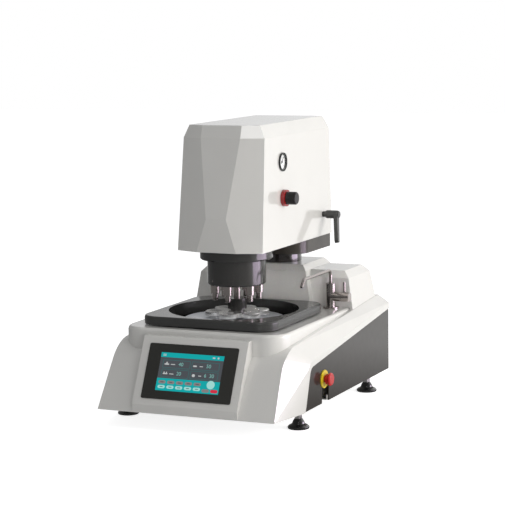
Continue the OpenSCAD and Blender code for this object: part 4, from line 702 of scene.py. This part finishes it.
def mirrored_strength(tree, coordinates, dim_up_to, bright_from):
    """How bright mirrors see a place or direction: dim in front, bright behind the machine."""
    place = tree.nodes.new("ShaderNodeTexCoord")
    facing = tree.nodes.new("ShaderNodeVectorMath")
    facing.operation = "DOT_PRODUCT"
    facing.inputs[1].default_value = behind
    fade = tree.nodes.new("ShaderNodeMapRange")
    for socket, value in (("From Min", dim_up_to), ("From Max", bright_from),
                          ("To Min", mirror_front), ("To Max", mirror_back)):
        fade.inputs[socket].default_value = value
    tree.links.new(place.outputs[coordinates], facing.inputs[0])
    tree.links.new(facing.outputs["Value"], fade.inputs["Value"])
    return fade.outputs["Result"]

def ray_kinds(tree):
    """Two outputs: 1 for rays that see directly or through glass, and 1 for mirrored rays."""
    ray = tree.nodes.new("ShaderNodeLightPath")
    direct = tree.nodes.new("ShaderNodeMath")
    direct.operation = "MAXIMUM"
    tree.links.new(ray.outputs["Is Camera Ray"], direct.inputs[0])
    tree.links.new(ray.outputs["Is Transmission Ray"], direct.inputs[1])
    return direct.outputs["Value"], ray.outputs["Is Glossy Ray"]

world = bpy.data.worlds.new("studio")
bpy.context.scene.world = world
world.use_nodes = True
world_tree = world.node_tree
lit = world_tree.nodes["Background"]
lit.inputs["Color"].default_value = (0.98, 0.99, 1.0, 1)
lit.inputs["Strength"].default_value = room_light
mirrored = world_tree.nodes.new("ShaderNodeBackground")
seen = world_tree.nodes.new("ShaderNodeBackground")
for whole in (mirrored, seen):
    whole.inputs["Color"].default_value = (1, 1, 1, 1)
for_mirrors = world_tree.nodes.new("ShaderNodeMixShader")
choose = world_tree.nodes.new("ShaderNodeMixShader")
direct, glossy = ray_kinds(world_tree)
link = world_tree.links.new
link(mirrored_strength(world_tree, "Generated", 0.2, 0.75), mirrored.inputs["Strength"])
link(glossy, for_mirrors.inputs["Fac"])
link(lit.outputs["Background"], for_mirrors.inputs[1])
link(mirrored.outputs["Background"], for_mirrors.inputs[2])
link(direct, choose.inputs["Fac"])
link(for_mirrors.outputs["Shader"], choose.inputs[1])
link(seen.outputs["Background"], choose.inputs[2])
link(choose.outputs["Shader"], world_tree.nodes["World Output"].inputs["Surface"])

floor_mesh = bpy.data.meshes.new("floor")
reach = 12.0
floor_mesh.from_pydata([(-reach, -reach, 0), (reach, -reach, 0), (reach, reach, 0),
                        (-reach, reach, 0)], [], [(0, 1, 2, 3)])
floor = bpy.data.objects.new("floor", floor_mesh)
bpy.context.scene.collection.objects.link(floor)
floor_paint = finish("floor_paint", (0.85, 0.85, 0.85), 0.8, bump=0.0, drift=0.0)
floor_glow_strength = 0.8
floor_tree = floor_paint.node_tree
floor_glow = floor_tree.nodes.new("ShaderNodeEmission")
floor_mirrored = floor_tree.nodes.new("ShaderNodeEmission")
floor_strength = floor_tree.nodes.new("ShaderNodeMath")
floor_strength.operation = "MULTIPLY"
floor_strength.inputs[1].default_value = floor_glow_strength
floor_sum = floor_tree.nodes.new("ShaderNodeAddShader")
floor_choose = floor_tree.nodes.new("ShaderNodeMixShader")
direct, glossy = ray_kinds(floor_tree)
link = floor_tree.links.new
link(direct, floor_strength.inputs[0])
link(floor_strength.outputs["Value"], floor_glow.inputs["Strength"])
link(mirrored_strength(floor_tree, "Object", 0.2, 1.0), floor_mirrored.inputs["Strength"])
link(floor_tree.nodes["Principled BSDF"].outputs["BSDF"], floor_sum.inputs[0])
link(floor_glow.outputs["Emission"], floor_sum.inputs[1])
link(glossy, floor_choose.inputs["Fac"])
link(floor_sum.outputs["Shader"], floor_choose.inputs[1])
link(floor_mirrored.outputs["Emission"], floor_choose.inputs[2])
link(floor_choose.outputs["Shader"], floor_tree.nodes["Material Output"].inputs["Surface"])
floor_mesh.materials.append(floor_paint)
bpy.context.scene.view_settings.view_transform = "Standard"
